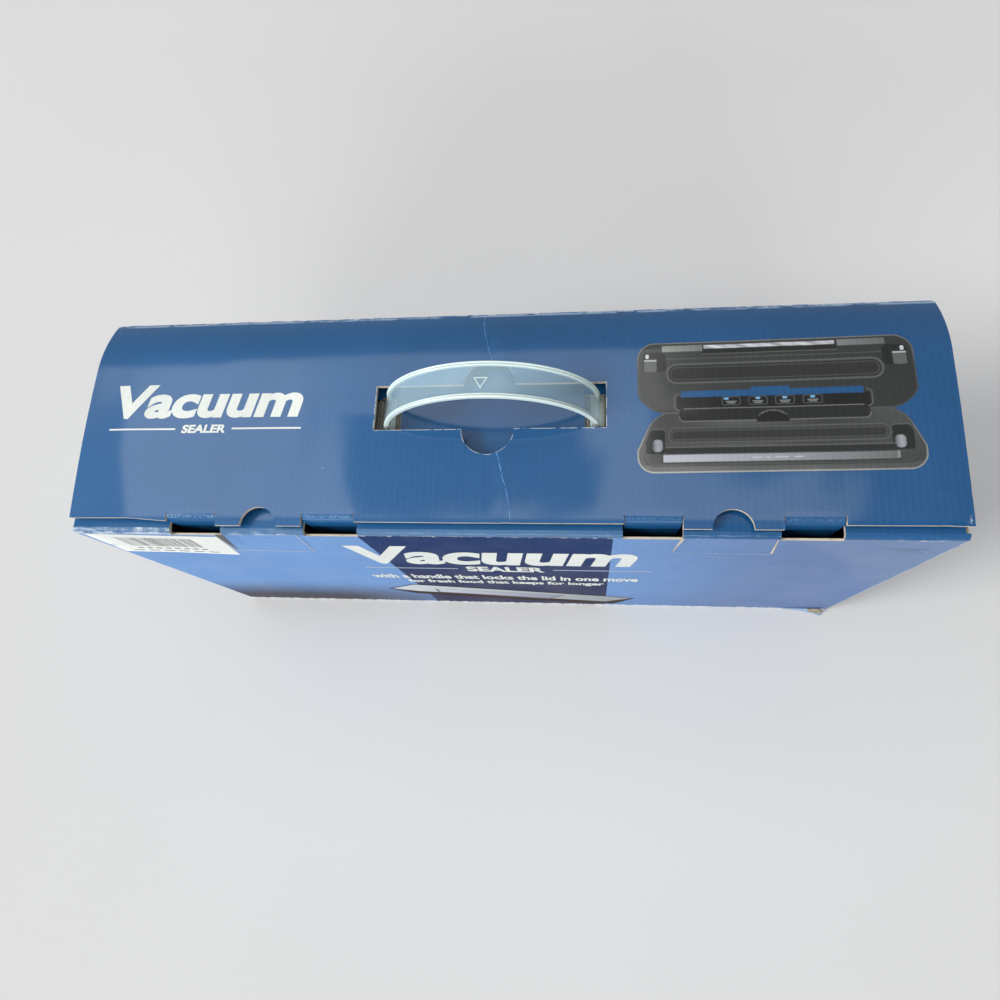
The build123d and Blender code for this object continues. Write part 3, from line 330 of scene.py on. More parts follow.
def front_blue(k):
    """Light blue with a navy band in the middle, greyer at the foot on the left, with a painted highlight at
    the upper right.
    """
    x, z = k.x, k.z
    light = k.mix(k.band(x, 0.02, 0.17), (0.155, 0.305, 0.600), (0.135, 0.210, 0.400))
    foot = k.fall(z, 0.008, 0.078) * k.band(x, -0.14, 0.0, 1.0, 0.12)
    light = k.mix(foot, light, (0.066, 0.060, 0.072))
    navy = k.mix(k.band(z, 0.03, 0.18), (0.034, 0.034, 0.085), (0.007, 0.032, 0.125))
    inside = k.band(x, -0.0652, -0.0648) * k.fall(x, 0.0598, 0.0602)
    colour = k.mix(inside, light, navy)
    colour = mottled(k, colour, 8, (0.94, 1.06), (0.95, 1.06))
    # a painted highlight: a paler patch at the upper right of the front
    highlight_patch = k.band(x - (WALL_TOP - z) * 0.55 + k.noise(18, 3.0) * 0.03, 0.160, 0.172)
    colour = k.mix(highlight_patch * 0.55, colour, (0.18, 0.25, 0.40))
    return dusty(k, colour, 0.4)


def print_front():
    k = Mat("print_front", Specular_IOR_Level=0.03)
    x, z = k.x, k.z
    colour = front_blue(k)
    rub = k.noise(150, 4.0, 0.75, (1, 1, 0.4))
    top = k.band(z, WALL_TOP - 0.0035, WALL_TOP - 0.0005) * k.band(rub, 0.50, 0.64)
    foot = k.fall(z, 0.0005, 0.0030) * k.band(rub, 0.42, 0.56)
    side = k.band(abs(x), front_hi.x - 0.0011, front_hi.x - 0.0001) * k.band(rub, 0.40, 0.54, 0.1, 0.6)
    return finished_board(k, k.mix(k.most(top, foot, side), colour, WORN), (0.38, 0.52))


def print_sides():
    k = Mat("print_sides", Specular_IOR_Level=0.3, Coat_Weight=0.35, Coat_Roughness=0.2)
    blue = dusty(k, mottled(k, (0.055, 0.17, 0.42), 7, (0.88, 1.12), (0.94, 1.07)))
    x, y, z = abs(k.x), abs(k.y), abs(k.z)
    foot_or_top = k.most(k.fall(z, 0.0004, 0.0022), k.band(z, WALL_TOP - 0.0020, WALL_TOP))
    upright = k.band(y, BACK_Y - 0.0020, BACK_Y - 0.0003)
    upright = upright * k.band(x, front_hi.x - 0.0025, front_hi.x - 0.0004)
    edge = k.most(foot_or_top, upright) * k.band(k.noise(130, 4.0, 0.75), 0.46, 0.60)
    return finished_board(k, k.mix(edge * 0.8, blue, WORN), (0.32, 0.46))


def kraft(name, colour=(0.40, 0.275, 0.165), flutes=0.0):
    k = Mat(name, Roughness=0.86, Specular_IOR_Level=0.2)
    c = k.shade(colour, k.noise(11, 4.0), 0.86, 1.12)
    c = k.shade(c, k.noise(420, 4.0, 0.7, (0.25, 1, 1)), 0.80, 1.16)
    fleck = k.band(k.noise(900, 2.0, 0.6, (0.3, 1, 1)), 0.66, 0.74)
    c = k.mix(fleck * 0.6, c, (0.16, 0.095, 0.05))
    if flutes:
        k.lift(k.waves(k.x, FLUTE), flutes)
        c = k.shade(c, k.waves(k.x, FLUTE / 2), 0.62, 1.15)
    k.set("Base Color", c)
    k.lift(k.noise(600, 4.0, 0.7, (0.3, 1, 1)), 1.6e-5)
    return k.done()


def paper(name, colour, sheen=0.3):
    k = Mat(name, Roughness=0.5, Specular_IOR_Level=sheen)
    c = k.shade(colour, k.noise(20, 3.0), 0.93, 1.04)
    c = k.mix(k.band(k.noise(70, 4.0, 0.7), 0.60, 0.78), c, tuple(0.72 * v for v in colour))
    k.set("Base Color", c)
    k.lift(k.noise(500, 3.0), 5e-6)
    return k.done()


def ink(name, colour):
    """Printed ink: slightly uneven, with the board's own relief below it."""
    k = Mat(name, Specular_IOR_Level=0.3, Coat_Weight=0.3, Coat_Roughness=0.2)
    c = k.shade(colour, k.noise(40, 3.0), 0.92, 1.03)
    c = k.shade(c, k.noise(1600, 1.0), 0.94, 1.04)
    scuff = k.band(k.noise(240, 4.0, 0.75), 0.66, 0.74)
    return finished_board(k, k.mix(scuff * 0.35, c, (0.16, 0.22, 0.33)), (0.36, 0.50))


def picture_ink(name, ground, gloss):
    """Ink over the ground colour of its panel, with soft edges."""
    k = Mat(name, Specular_IOR_Level=0.2 * gloss, Coat_Weight=gloss, Coat_IOR=1.60, Coat_Roughness=COAT_ROUGH)
    colour = k.add("ShaderNodeAttribute", attribute_name="print").outputs["Color"]
    cover = k.add("ShaderNodeAttribute", attribute_name="cover").outputs["Fac"]
    grain = k.shade(colour, k.noise(1500, 1.0), 0.94, 1.07)
    return finished_board(k, k.mix(cover, ground(k), grain), (0.34, 0.46))


def moulded(name, colour, rough=(0.42, 0.6), grain=1.2e-5, grain_scale=2600, coat=0.0, spec=0.5):
    k = Mat(name, Specular_IOR_Level=spec, Coat_Weight=coat, Coat_Roughness=0.08)
    c = k.shade(colour, k.noise(30, 3.0), 0.88, 1.12)
    c = k.mix(k.band(k.noise(500, 3.0, 0.8), 0.70, 0.80), c, tuple(min(1, v * 1.6 + 0.02) for v in colour))
    k.set("Base Color", c)
    k.set("Roughness", k.band(k.noise(90, 4.0), 0.3, 0.7, *rough))
    k.lift(k.cells(grain_scale), grain)
    k.lift(k.noise(40, 2.0), 2e-5)
    return k.done()


def metal(name, colour, rough=(0.22, 0.4), brushed="X", scratch=8e-6):
    k = Mat(name, Metallic=1.0)
    stretch = tuple(0.03 if a == brushed else 1.0 for a in "XYZ")
    line = k.noise(900, 3.0, 0.7, stretch)
    k.set("Base Color", k.shade(colour, line, 0.82, 1.12))
    k.set("Roughness", k.band(k.noise(60, 4.0), 0.3, 0.7, *rough))
    k.lift(line, scratch)
    return k.done()


def foam():
    k = Mat("foam_beads", Roughness=0.8, Specular_IOR_Level=0.25, Subsurface_Weight=0.2)
    k.b.inputs["Subsurface Scale"].default_value = 0.002
    bead = k.cells(330)
    # each bead is painted darker towards its edge: painted shade in the crevices between the beads
    k.set("Base Color", k.shade((0.86, 0.86, 0.85), bead, 1.04, 0.84))
    k.lift(k.fall(bead, 0.0, 0.75), 3.5e-4)
    return k.done()


def milky(name, colour, alpha, rough=0.24):
    """Translucent polyethylene."""
    k = Mat(name, Roughness=rough, Specular_IOR_Level=0.5, Alpha=alpha, Coat_Weight=0.4, Coat_Roughness=0.1)
    k.set("Base Color", k.shade(colour, k.noise(60, 3.0, 0.5, (0.3, 1, 1)), 0.94, 1.05))
    k.lift(k.noise(120, 3.0, 0.5, (0.2, 1, 1)), 4e-5)
    k.lift(k.noise(1500, 2.0), 3e-6)
    return k.done()


def woven_tape():
    k = Mat("woven_tape", Roughness=0.45, Specular_IOR_Level=0.4)
    weave = k.waves(k.x, 0.0006) * k.waves(k.z, 0.0006)
    k.set("Base Color", k.shade((0.42, 0.29, 0.18), weave, 0.8, 1.2))
    k.lift(weave, 2e-5)
    return k.done()


def circuit():
    k = Mat("circuit_board", Roughness=0.35, Specular_IOR_Level=0.5)
    trace = k.fall(abs(k.noise(90, 0.0) - 0.5), 0.012, 0.02)
    c = k.mix(trace * 0.5, (0.012, 0.105, 0.035), (0.06, 0.26, 0.08))
    pad = k.fall(k.cells(260), 0.10, 0.14)
    k.set("Base Color", k.mix(pad * 0.8, c, (0.75, 0.70, 0.55)))
    k.lift(trace, 2e-5)
    return k.done()


MOULDED = (  # name, colour, roughness, height and scale of the grain, coat, specular level
    ("machine_dark", (0.020, 0.022, 0.025)),
    ("machine_silver", (0.50, 0.52, 0.54), (0.26, 0.36), 4e-6, 1800, 0.3),
    ("fascia_gloss", (0.006, 0.007, 0.010), (0.05, 0.12), 0.0, 1000, 0.8),
    ("key_plastic", (0.022, 0.024, 0.028), (0.25, 0.35), 3e-6, 2400, 0.2),
    ("light_pipe", (0.25, 0.60, 0.95), (0.15, 0.25), 0.0, 900, 0.4),
    ("gasket_rubber", (0.030, 0.030, 0.031), (0.7, 0.85), 5e-5, 1200, 0.0, 0.3),
    ("silicone", (0.33, 0.06, 0.035), (0.45, 0.6), 6e-6, 1400, 0.0, 0.4),
    ("foot_rubber", (0.018, 0.018, 0.018), (0.65, 0.8), 2e-5, 1500, 0.0, 0.3),
    ("works_plastic", (0.55, 0.55, 0.51), (0.45, 0.55), 4e-6),
    ("roller_plastic", (0.78, 0.78, 0.75), (0.35, 0.45), 3e-6),
)
MATERIALS = {
    "printed_board": print_sides(),
    "kraft_board": kraft("kraft_board"),
    "label_paper": paper("label_paper", (0.80, 0.83, 0.80)),
    "handle_plastic": milky("handle_web", (0.46, 0.66, 0.77), 0.34),
    "foam": foam(),
    "bar_aluminium": metal("bar_aluminium", (0.72, 0.73, 0.74)),
    "release_tape": woven_tape(),
    "steel": metal("zinc_steel", (0.62, 0.62, 0.60), (0.28, 0.45)),
    "board_green": circuit(),
    "core_steel": metal("core_steel", (0.16, 0.16, 0.17), (0.45, 0.6), "Y", 3e-5),
    "motor_steel": metal("motor_steel", (0.58, 0.58, 0.59), (0.25, 0.4)),
    "hose_silicone": milky("hose_silicone", (0.72, 0.76, 0.76), 0.75, 0.35),
}
for name, *look in MOULDED:
    MATERIALS[name] = moulded(name, *look)
PRINT_TOP = print_top("print_top")
PRINT_FLAP = print_top("print_flap", plain_blue)
PRINT_CREASE = print_top("print_crease", plain_blue, worn=True)
PRINT_FRONT = print_front()
KRAFT_IN = kraft("kraft_inside", flutes=1.2e-5)
KRAFT_EDGE = kraft("kraft_edge", (0.58, 0.51, 0.40))
WHITE_INK = ink("white_ink", (0.76, 0.80, 0.76))
PALE_INK = ink("pale_ink", (0.42, 0.50, 0.62))
LABEL_INK = ink("label_ink", (0.115, 0.115, 0.110))
RIB = milky("handle_ribs", (0.76, 0.90, 0.88), 0.93, 0.3)

for entry in frame["record"]["subparts"]:
    node = NODES[entry["node"]]
    node.data.materials.clear()
    node.data.materials.append(MATERIALS[entry["material_slot"]])
    node.data.polygons.foreach_set("material_index", [0] * len(node.data.polygons))

# The walls and bottom flaps are printed outside, kraft inside and on their cut edges.
OUTWARD = {
    "back_panel": (0, 1, 0),
    "left_panel": (-1, 0, 0),
    "right_panel": (1, 0, 0),
    "bottom_front_flap": (0, 0, -1),
    "bottom_back_flap": (0, 0, -1),
    "bottom_left_flap": (0, 0, -1),
    "bottom_right_flap": (0, 0, -1),
}
for name, outward in OUTWARD.items():
    data = NODES[name].data
    data.materials.append(KRAFT_IN)
    data.materials.append(KRAFT_EDGE)
    for face in data.polygons:
        facing = face.normal.dot(Vector(outward))
        if name == "back_panel" and abs(face.normal.x) > 0.9:
            facing = 1.0  # the sheet runs on round the upright corners
        face.material_index = 0 if facing > 0.5 else 1 if facing < -0.5 else 2


# ==================== geometry helpers
def ripple(x, y, z):
    """Smooth noise from about -1 to 1."""
    return noise.noise(Vector((x, y, z)))


def mesh_of(bm, name="mesh"):
    mesh = bpy.data.meshes.new(name)
    bm.to_mesh(mesh)
    bm.free()
    return mesh


def in_scene(name, data):
    """A new object with this data, linked into the scene."""
    made = bpy.data.objects.new(name, data)
    bpy.context.scene.collection.objects.link(made)
    return made


def new_piece(name, mesh, materials, body, smooth=True):
    piece = in_scene(name, mesh)
    for m in materials:
        mesh.materials.append(m)
    if smooth:
        mesh.polygons.foreach_set("use_smooth", [True] * len(mesh.polygons))
    if body:
        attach(piece, body)
    return piece


def sharp_by_angle(mesh, degrees=35):
    """Edges that turn by more than this stay sharp in the smooth shading."""
    bm = bmesh.new()
    bm.from_mesh(mesh)
    for e in bm.edges:
        e.smooth = e.is_boundary or (len(e.link_faces) == 2 and e.calc_face_angle(0) < math.radians(degrees))
    bm.to_mesh(mesh)
    bm.free()


def board_piece(name, mesh, outside, body):
    """A piece of board: printed outside, kraft inside and on its cut edges."""
    piece = new_piece(name, mesh, [outside, KRAFT_IN, KRAFT_EDGE], body)
    sharp_by_angle(mesh)
    return piece


def breaks(low, high, step, fixed=()):
    """Grid lines from low to high, at most step apart, with one at each fixed place."""
    marks = sorted({low, high, *[f for f in fixed if low < f < high]})
    lines = [low]
    for a, b in zip(marks, marks[1:]):
        count = max(1, math.ceil((b - a) / step - 1e-6))
        lines += [a + (b - a) * i / count for i in range(1, count + 1)]
    return lines


def used_up(holder):
    """The mesh that an object gives with its modifiers. The object itself is removed."""
    bpy.context.view_layer.update()
    mesh = bpy.data.meshes.new_from_object(holder.evaluated_get(bpy.context.evaluated_depsgraph_get()))
    bpy.data.objects.remove(holder)
    return mesh


def less_disc(mesh, x, v, r, thick):
    """A plate's mesh with a round hole of radius r at (x, v)."""
    cut = bmesh.new()
    bmesh.ops.create_cone(cut, cap_ends=True, segments=72, radius1=r, radius2=r, depth=4 * thick,
                          matrix=Matrix.Translation((x, v, -thick / 2)))
    body, cutter = in_scene("body", mesh), in_scene("cutter", mesh_of(cut))
    hole = body.modifiers.new("cut", "BOOLEAN")
    hole.object = cutter
    hole.solver = "EXACT"
    mesh = used_up(body)
    bpy.data.objects.remove(cutter)
    return mesh


def plate(xs, vs, keep, thick, discs=()):
    """A flat plate in X and V, from 0 down to -thick, of the grid cells that keep() wants, less round
    holes. Its printed face has material 0, its back 1 and its edges 2."""
    bm = bmesh.new()
    made = {}

    def corner(i, j, level):
        key = (i, j, level)
        if key not in made:
            made[key] = bm.verts.new((xs[i], vs[j], -thick * level))
        return made[key]

    cells = set()
    for i in range(len(xs) - 1):
        for j in range(len(vs) - 1):
            if keep((xs[i] + xs[i + 1]) / 2, (vs[j] + vs[j + 1]) / 2):
                cells.add((i, j))
    for i, j in cells:
        ring = ((i, j), (i + 1, j), (i + 1, j + 1), (i, j + 1))
        bm.faces.new([corner(*p, 0) for p in ring])
        bm.faces.new([corner(*p, 1) for p in reversed(ring)])
        beyond = ((i, j - 1), (i + 1, j), (i, j + 1), (i - 1, j))
        for a, b, neighbour in zip(ring, ring[1:] + ring[:1], beyond):
            if neighbour not in cells:
                bm.faces.new([corner(*b, 0), corner(*a, 0), corner(*a, 1), corner(*b, 1)])
    mesh = mesh_of(bm)
    for x, v, r in discs:
        mesh = less_disc(mesh, x, v, r, thick)
    mesh.materials.clear()
    for face in mesh.polygons:
        face.material_index = 0 if face.normal.z > 0.5 else 1 if face.normal.z < -0.5 else 2
    return mesh


# ==================== the bowed outer lid
LID_DATA = NODES["outer_lid"].data
LID_TREE = BVHTree.FromPolygons([v.co for v in LID_DATA.vertices], [p.vertices for p in LID_DATA.polygons])
TAB_BEND_Y, TAB_R = -0.0520, 0.0032  # where the lock tabs bend down, and how tightly
TAB_X, TAB_HALF, TAB_LENGTH = (0.078, 0.149), 0.0130, 0.0245
TAB_TAPER_Y = TAB_BEND_Y - 0.012  # from here the tabs narrow towards their tips
SLIT, SLIT_END_Y = 0.0004, -0.0512  # the cuts beside the tabs: their width and where they end
LID_EDGE_Y, NOTCHED_Y, NOTCH_R = -0.0555, -0.0578, 0.0093  # the edge reaches further out at the notches
PROBE_X, PROBE_STEP = lid_hi.x - 0.006, 0.0006  # a place along the lid with no cut in it
PROBED_Y = (LID_EDGE_Y + 0.0008, 0.0578)  # the CAD lid is probed from here to here
WALL_Y = 0.0590  # where the lid starts, at the back crease
SPREAD_X = 0.190  # beyond this the ends of the lid have spread past the walls

profile = {}


def lid_surface(y):
    """(z, slope) of the lid's outer face at y. Past the CAD lid's edges it runs on straight."""
    key = round(y, 6)
    if key not in profile:
        before, after = (LID_TREE.ray_cast(Vector((PROBE_X, y + d, 0.4)), Vector((0, 0, -1)))[0]
                         for d in (-PROBE_STEP, PROBE_STEP))
        if before and after:
            profile[key] = ((before.z + after.z) / 2, (after.z - before.z) / (2 * PROBE_STEP))
        else:
            edge = PROBED_Y[1] if y > 0 else PROBED_Y[0]
            z, slope = lid_surface(edge)
            profile[key] = (z + (y - edge) * slope, slope)
    return profile[key]


def crease_x(y):
    """The soft fold across the lid wanders a little."""
    return 0.0012 - 0.038 * y + 0.0016 * math.sin(y * 95)


def lid_wave(x, y):
    """How far the thin board is out of true, in metres."""
    fade = min(1.0, max(0.0, (0.056 - y) / 0.02))
    fold = x - crease_x(y)
    dent = -0.00055 * math.exp(-((fold / 0.0016) ** 2)) + 0.0005 * math.exp(-(((fold - 0.004) / 0.006) ** 2))
    roll = 0.0007 * ripple(x * 9, y * 14, 0.3) + 0.00025 * ripple(x * 40, y * 30, 5)
    corner = math.exp(-(((x - 0.208) / 0.010) ** 2 + ((y + 0.046) / 0.014) ** 2))
    crumple = 0.0011 * corner * ripple(x * 330, y * 210, 9)
    curl = -0.0010 * max(0.0, (x - 0.201) / 0.0135) ** 1.5 * min(1.0, max(0.0, (0.03 - y) / 0.05))
    return fade * (dent + roll) + crumple + curl


def on_lid(x, v, t):
    """A point of the flat lid sheet at its place on the bowed lid; t is measured inwards."""
    tab = any(abs(abs(x) - c) <= TAB_HALF + SLIT / 4 for c in TAB_X)
    if tab and v < TAB_BEND_Y:
        z0, slope = lid_surface(TAB_BEND_Y)
        tilt = math.atan(slope)
        d = TAB_BEND_Y - v
        quarter = (math.pi / 2 + tilt) * TAB_R
        turn = min(d, quarter) / TAB_R - tilt
        cy, cz = TAB_BEND_Y + TAB_R * math.sin(tilt), z0 - TAB_R * math.cos(tilt)
        r = TAB_R - t
        y = cy - r * math.sin(turn)
        z = cz + r * math.cos(turn)
        if d > quarter:
            z -= d - quarter
        return Vector((x, y, z + lid_wave(x, TAB_BEND_Y)))
    z, slope = lid_surface(v)
    n = Vector((0, -slope, 1)).normalized()
    return Vector((x, v, z + lid_wave(x, v))) - n * t


def lid_cell(x, v):
    """Whether the flat lid sheet has board at (x, v)."""
    side = abs(x)
    if abs(x - WINDOW_MID) < WINDOW_HALF and WINDOW_Y[0] < v < WINDOW_Y[1]:
        return False
    if any(TAB_HALF < abs(side - c) < TAB_HALF + SLIT for c in TAB_X):
        return v > SLIT_END_Y
    if any(abs(side - c) < TAB_HALF for c in TAB_X):
        return True
    notched = TAB_X[0] + TAB_HALF < side < TAB_X[1] - TAB_HALF
    return v > (NOTCHED_Y if notched else LID_EDGE_Y)


def worn_sheet(x, v):
    """Where a point of the lid's neat flat sheet has got to on the worn one."""
    if v < TAB_TAPER_Y:
        c = min(TABS, key=lambda middle: abs(middle - x))
        x = c + (x - c) * (1 - 5.0 * (TAB_TAPER_Y - v))
    if v < -0.0525 and x < -0.163:  # the far left of the edge is cut a little short
        v += 0.0014 * min(1, (-0.163 - x) / 0.02)
    if abs(x) > SPREAD_X:
        x *= 1 + (0.0040 if x > 0 else 0.0035) * (abs(x) - SPREAD_X) / (lid_hi.x - SPREAD_X)
    return x, v


TABS = [s * c for s in (-1, 1) for c in TAB_X]
tab_edges = [c + s * (TAB_HALF + e) for c in TABS for s in (-1, 1) for e in (0.0, SLIT)]
xs = breaks(lid_lo.x, lid_hi.x, 0.0032, tab_edges + [WINDOW_MID - WINDOW_HALF, WINDOW_MID + WINDOW_HALF])
lid_marks = [TAB_BEND_Y, LID_EDGE_Y, NOTCHED_Y, SLIT_END_Y, *WINDOW_Y]
vs = breaks(TAB_BEND_Y - TAB_LENGTH, WALL_Y, 0.0026, lid_marks)
discs = [(WINDOW_MID, v, THUMB_R) for v in WINDOW_Y] + [(s * NOTCH_X, NOTCHED_Y, NOTCH_R) for s in (-1, 1)]
lid_mesh = plate(xs, vs, lid_cell, BOARD, discs)
for vert in lid_mesh.vertices:
    vert.co = on_lid(*worn_sheet(vert.co.x, vert.co.y), -vert.co.z)
lid_piece = board_piece("outer_lid_board", lid_mesh, PRINT_TOP, "outer_lid")
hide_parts("outer_lid")


# ==================== front wall, inner flap
SLOT_HALF, SLOT_BACK = 0.01375, FRONT_Y + 0.0085
SLOT_DROP = 0.0020  # the slots are cut a little into the front wall too
FOLD = 0.0028  # radius of the rounded crease
CREASE_OUT = 0.0012  # how far the front crease stands out at its left end
SETTLED = 0.0003  # the worn flap has sunk by this much
FLAP_OUT = 0.0030  # the left end of the flap stands out over the side wall
front_top = CREASE_Z - FOLD


def in_slot(x, extra=0.0):
    return any(abs(x - c) < SLOT_HALF + extra for c in TABS)


slot_edges = [c + e * SLOT_HALF for c in TABS for e in (-1, 1)]
FOOT_SLOT_X = (0.0465, 0.0575)
FOOT_SLOT_Y = (HANDLE_MID - 0.010, HANDLE_MID + 0.010)
CORNER_R = 0.012  # of the far corners of the inner flap
corner_x, corner_y = flap_hi.x - CORNER_R, flap_hi.y - CORNER_R
flap_front = FRONT_Y + FOLD
flap_marks = slot_edges + [s * e for s in (-1, 1) for e in (*FOOT_SLOT_X, corner_x)]
xs = breaks(flap_lo.x - FLAP_OUT, flap_hi.x, 0.004, flap_marks)
vs = breaks(flap_front, flap_hi.y, 0.004, [SLOT_BACK, *FOOT_SLOT_Y, corner_y])


def flap_cell(x, v):
    """Whether the inner flap has board at (x, v)."""
    if in_slot(x) and v < SLOT_BACK:
        return False
    return not (FOOT_SLOT_X[0] < abs(x) < FOOT_SLOT_X[1] and FOOT_SLOT_Y[0] < v < FOOT_SLOT_Y[1])


def rounded(x, v):
    """Moves a point of a square far corner of the inner flap into the round one."""
    width = CORNER_R + (FLAP_OUT if x < 0 else 0.0)
    across, along = (abs(x) - corner_x) / width, (v - corner_y) / CORNER_R
    if across <= 0 or along <= 0:
        return x, v
    pull = max(across, along) / math.hypot(across, along)
    return math.copysign(corner_x + across * pull * width, x), corner_y + along * pull * CORNER_R


flap_mesh = plate(xs, vs, flap_cell, BOARD)
for vert in flap_mesh.vertices:
    x, v, t = *rounded(vert.co.x, vert.co.y), vert.co.z
    sag = 0.00035 * ripple(x * 12, v * 16, 2.1) * min(1, max(0, (v - flap_front) / 0.02))
    vert.co = (x, v, CREASE_Z + t + sag - SETTLED)
flap_piece = board_piece("inner_flap_board", flap_mesh, PRINT_FLAP, "inner_flap")
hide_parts("inner_flap")


TONGUE_X, TONGUE_HALF, TONGUE_LENGTH = (0.0915, 0.0935, 0.1335, 0.1355), 0.0208, 0.033
TONGUE_Z = WALL_TOP - TONGUE_LENGTH


def front_bulge(x, z):
    """How far the front wall is dented in."""
    fade = max(0.0, min(1.0, z / 0.02, (front_top - z) / 0.03, (front_hi.x - abs(x)) / 0.03))
    return 0.0003 * fade * (1 + ripple(x * 9, z * 10, 7))


def on_front(x, z, t):
    """A point of the flat front sheet, t inside its face, at its place on the worn wall."""
    if z > front_top - SLOT_DROP - 0.0012 and in_slot(x, 0.0004):
        t *= 0.55  # the raw edge is crushed under the tabs
    push = 0.0
    if abs(abs(x) - NOTCH_X) < TONGUE_HALF and z > TONGUE_Z:  # the left tongue is pushed in further
        push = 0.0011 * (z - TONGUE_Z) / TONGUE_LENGTH * (1 if x < 0 else 0.45)
    return Vector((x, FRONT_Y + t + push + front_bulge(x, z), z))


tongue_edges = [s * e for s in (-1, 1) for e in TONGUE_X]
xs = breaks(front_lo.x, front_hi.x, 0.0030, slot_edges + tongue_edges)
vs = breaks(0.0, front_top, 0.0030, [TONGUE_Z, 0.1965])
front_mesh = plate(xs, vs, lambda x, v: not (in_slot(x) and v > front_top - SLOT_DROP), BOARD)
for vert in front_mesh.vertices:
    vert.co = on_front(vert.co.x, vert.co.y, -vert.co.z)
for face in front_mesh.polygons:
    if abs(face.normal.x) > 0.9 and abs(face.center.x) > front_hi.x - 0.001:
        face.material_index = 0  # the print runs on round the upright corners
front_piece = board_piece("front_wall_board", front_mesh, PRINT_FRONT, "carton")
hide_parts("front_panel")


def folded_strip(name, columns, section, outside):
    """A bent strip of board. section(x) gives the (outer, inner) points across it."""
    bm = bmesh.new()
    rings = [[(bm.verts.new(outer), bm.verts.new(inner)) for outer, inner in section(x)] for x in columns]
    last = len(rings[0]) - 1
    for a, b in zip(rings, rings[1:]):
        for i in range(last):
            bm.faces.new((a[i][0], b[i][0], b[i + 1][0], a[i + 1][0]))
            bm.faces.new((a[i + 1][1], b[i + 1][1], b[i][1], a[i][1])).material_index = 1
        for i in (0, last):
            bm.faces.new((a[i][0], a[i][1], b[i][1], b[i][0])).material_index = 2
    for ring in (rings[0], rings[-1]):
        for i in range(last):
            bm.faces.new((ring[i][0], ring[i + 1][0], ring[i + 1][1], ring[i][1])).material_index = 2
    bmesh.ops.recalc_face_normals(bm, faces=bm.faces)
    return board_piece(name, mesh_of(bm, name), outside, None)


def front_crease(number, x0, x1):
    """The rounded, rubbed fold between the front wall and the inner flap."""
    rows = 9
    middle = Vector((0, FRONT_Y + FOLD, CREASE_Z - SETTLED - FOLD))

    def section(x):
        for i in range(rows):
            a = math.pi / 2 * i / (rows - 1)
            rub = ripple(x * 170, i * 0.35, 2 * number - 2) + ripple(x * 38, i * 0.2, 3)
            r = FOLD + 0.0003 * rub * math.sin(2 * a)
            out = Vector((0, -math.cos(a), math.sin(a)))
            along = Vector((x, 0, 0))
            yield middle + along + out * r, middle + along + out * (r - BOARD)

    piece = folded_strip(f"front_crease_{number}", breaks(x0, x1, 0.0011), section, PRINT_CREASE)
    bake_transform(piece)


spans = [front_lo.x - CREASE_OUT, *sorted(slot_edges), front_hi.x]
for number, (x0, x1) in enumerate(zip(spans[::2], spans[1::2]), 1):
    front_crease(number, x0, x1)


def bezier(a, b, c, d, t):
    """(point, direction) at t along a cubic curve."""
    ab, bc, cd = a.lerp(b, t), b.lerp(c, t), c.lerp(d, t)
    abc, bcd = ab.lerp(bc, t), bc.lerp(cd, t)
    return abc.lerp(bcd, t), bcd - abc


def back_crease():
    """The rubbed fold between the back wall and the outer lid."""
    lid_z, slope = lid_surface(WALL_Y)
    foot, knee = Vector((0, BACK_Y, WALL_TOP)), Vector((0, BACK_Y, WALL_TOP + 0.0010))
    head = Vector((0, WALL_Y, lid_z))
    shoulder = head + Vector((0, 0.0009, 0.0009 * slope))
    rows = 8

    def section(x):
        for i in range(rows):
            t = i / (rows - 1)
            p, run = bezier(foot, knee, shoulder, head, t)
            out = Vector((0, run.z, -run.y)).normalized()
            rub = 0.00022 * ripple(x * 150, i * 0.4, 11) * math.sin(math.pi * t)
            p.x = x
            yield p + out * rub, p - out * BOARD

    columns = breaks(lid_lo.x, lid_hi.x, 0.0014)
    piece = folded_strip("back_crease", columns, section, MATERIALS["printed_board"])
    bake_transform(piece)
    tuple(foot)


back_crease()


# ==================== strap handle
ARCH_HALF = (handle_hi.x - handle_lo.x) / 2 - 0.007
ARCH_RISE = handle_hi.z - CREASE_Z - 0.0006
STRAP_HALF = 0.0090


def strap_path(count=72):
    """(point, outward normal) along the arch, from the left foot over the top to the right foot."""
    left_leg, right_leg = (Vector((s * (ARCH_HALF + 0.0012), 0, handle_lo.z + 0.0018)) for s in (-1, 1))
    yield left_leg, Vector((-1, 0, 0))
    for i in range(count + 1):
        a = math.pi * (1 - i / count)
        splay = 0.0008 * math.cos(a) ** 5  # the legs lean outwards into their slots
        p = Vector((ARCH_HALF * math.cos(a) + splay, 0, CREASE_Z + ARCH_RISE * math.sin(a)))
        yield p, Vector((math.cos(a) / ARCH_HALF, 0, math.sin(a) / ARCH_RISE)).normalized()
    yield right_leg, Vector((1, 0, 0))


def swept(name, section, material):
    """A closed section of (across, out) points, swept along the strap's path."""
    bm = bmesh.new()
    rings = []
    for p, n in strap_path():
        rings.append([bm.verts.new((p.x + n.x * o, HANDLE_MID + a, p.z + n.z * o)) for a, o in section])
    for r0, r1 in zip(rings, rings[1:]):
        for i in range(len(section)):
            j = (i + 1) % len(section)
            bm.faces.new((r0[i], r0[j], r1[j], r1[i]))
    bm.faces.new(rings[0])
    bm.faces.new(list(reversed(rings[-1])))
    bmesh.ops.recalc_face_normals(bm, faces=bm.faces)
    piece = new_piece(name, mesh_of(bm, name), [material], "carry_handle")
    sharp_by_angle(piece.data, 50)
    return piece


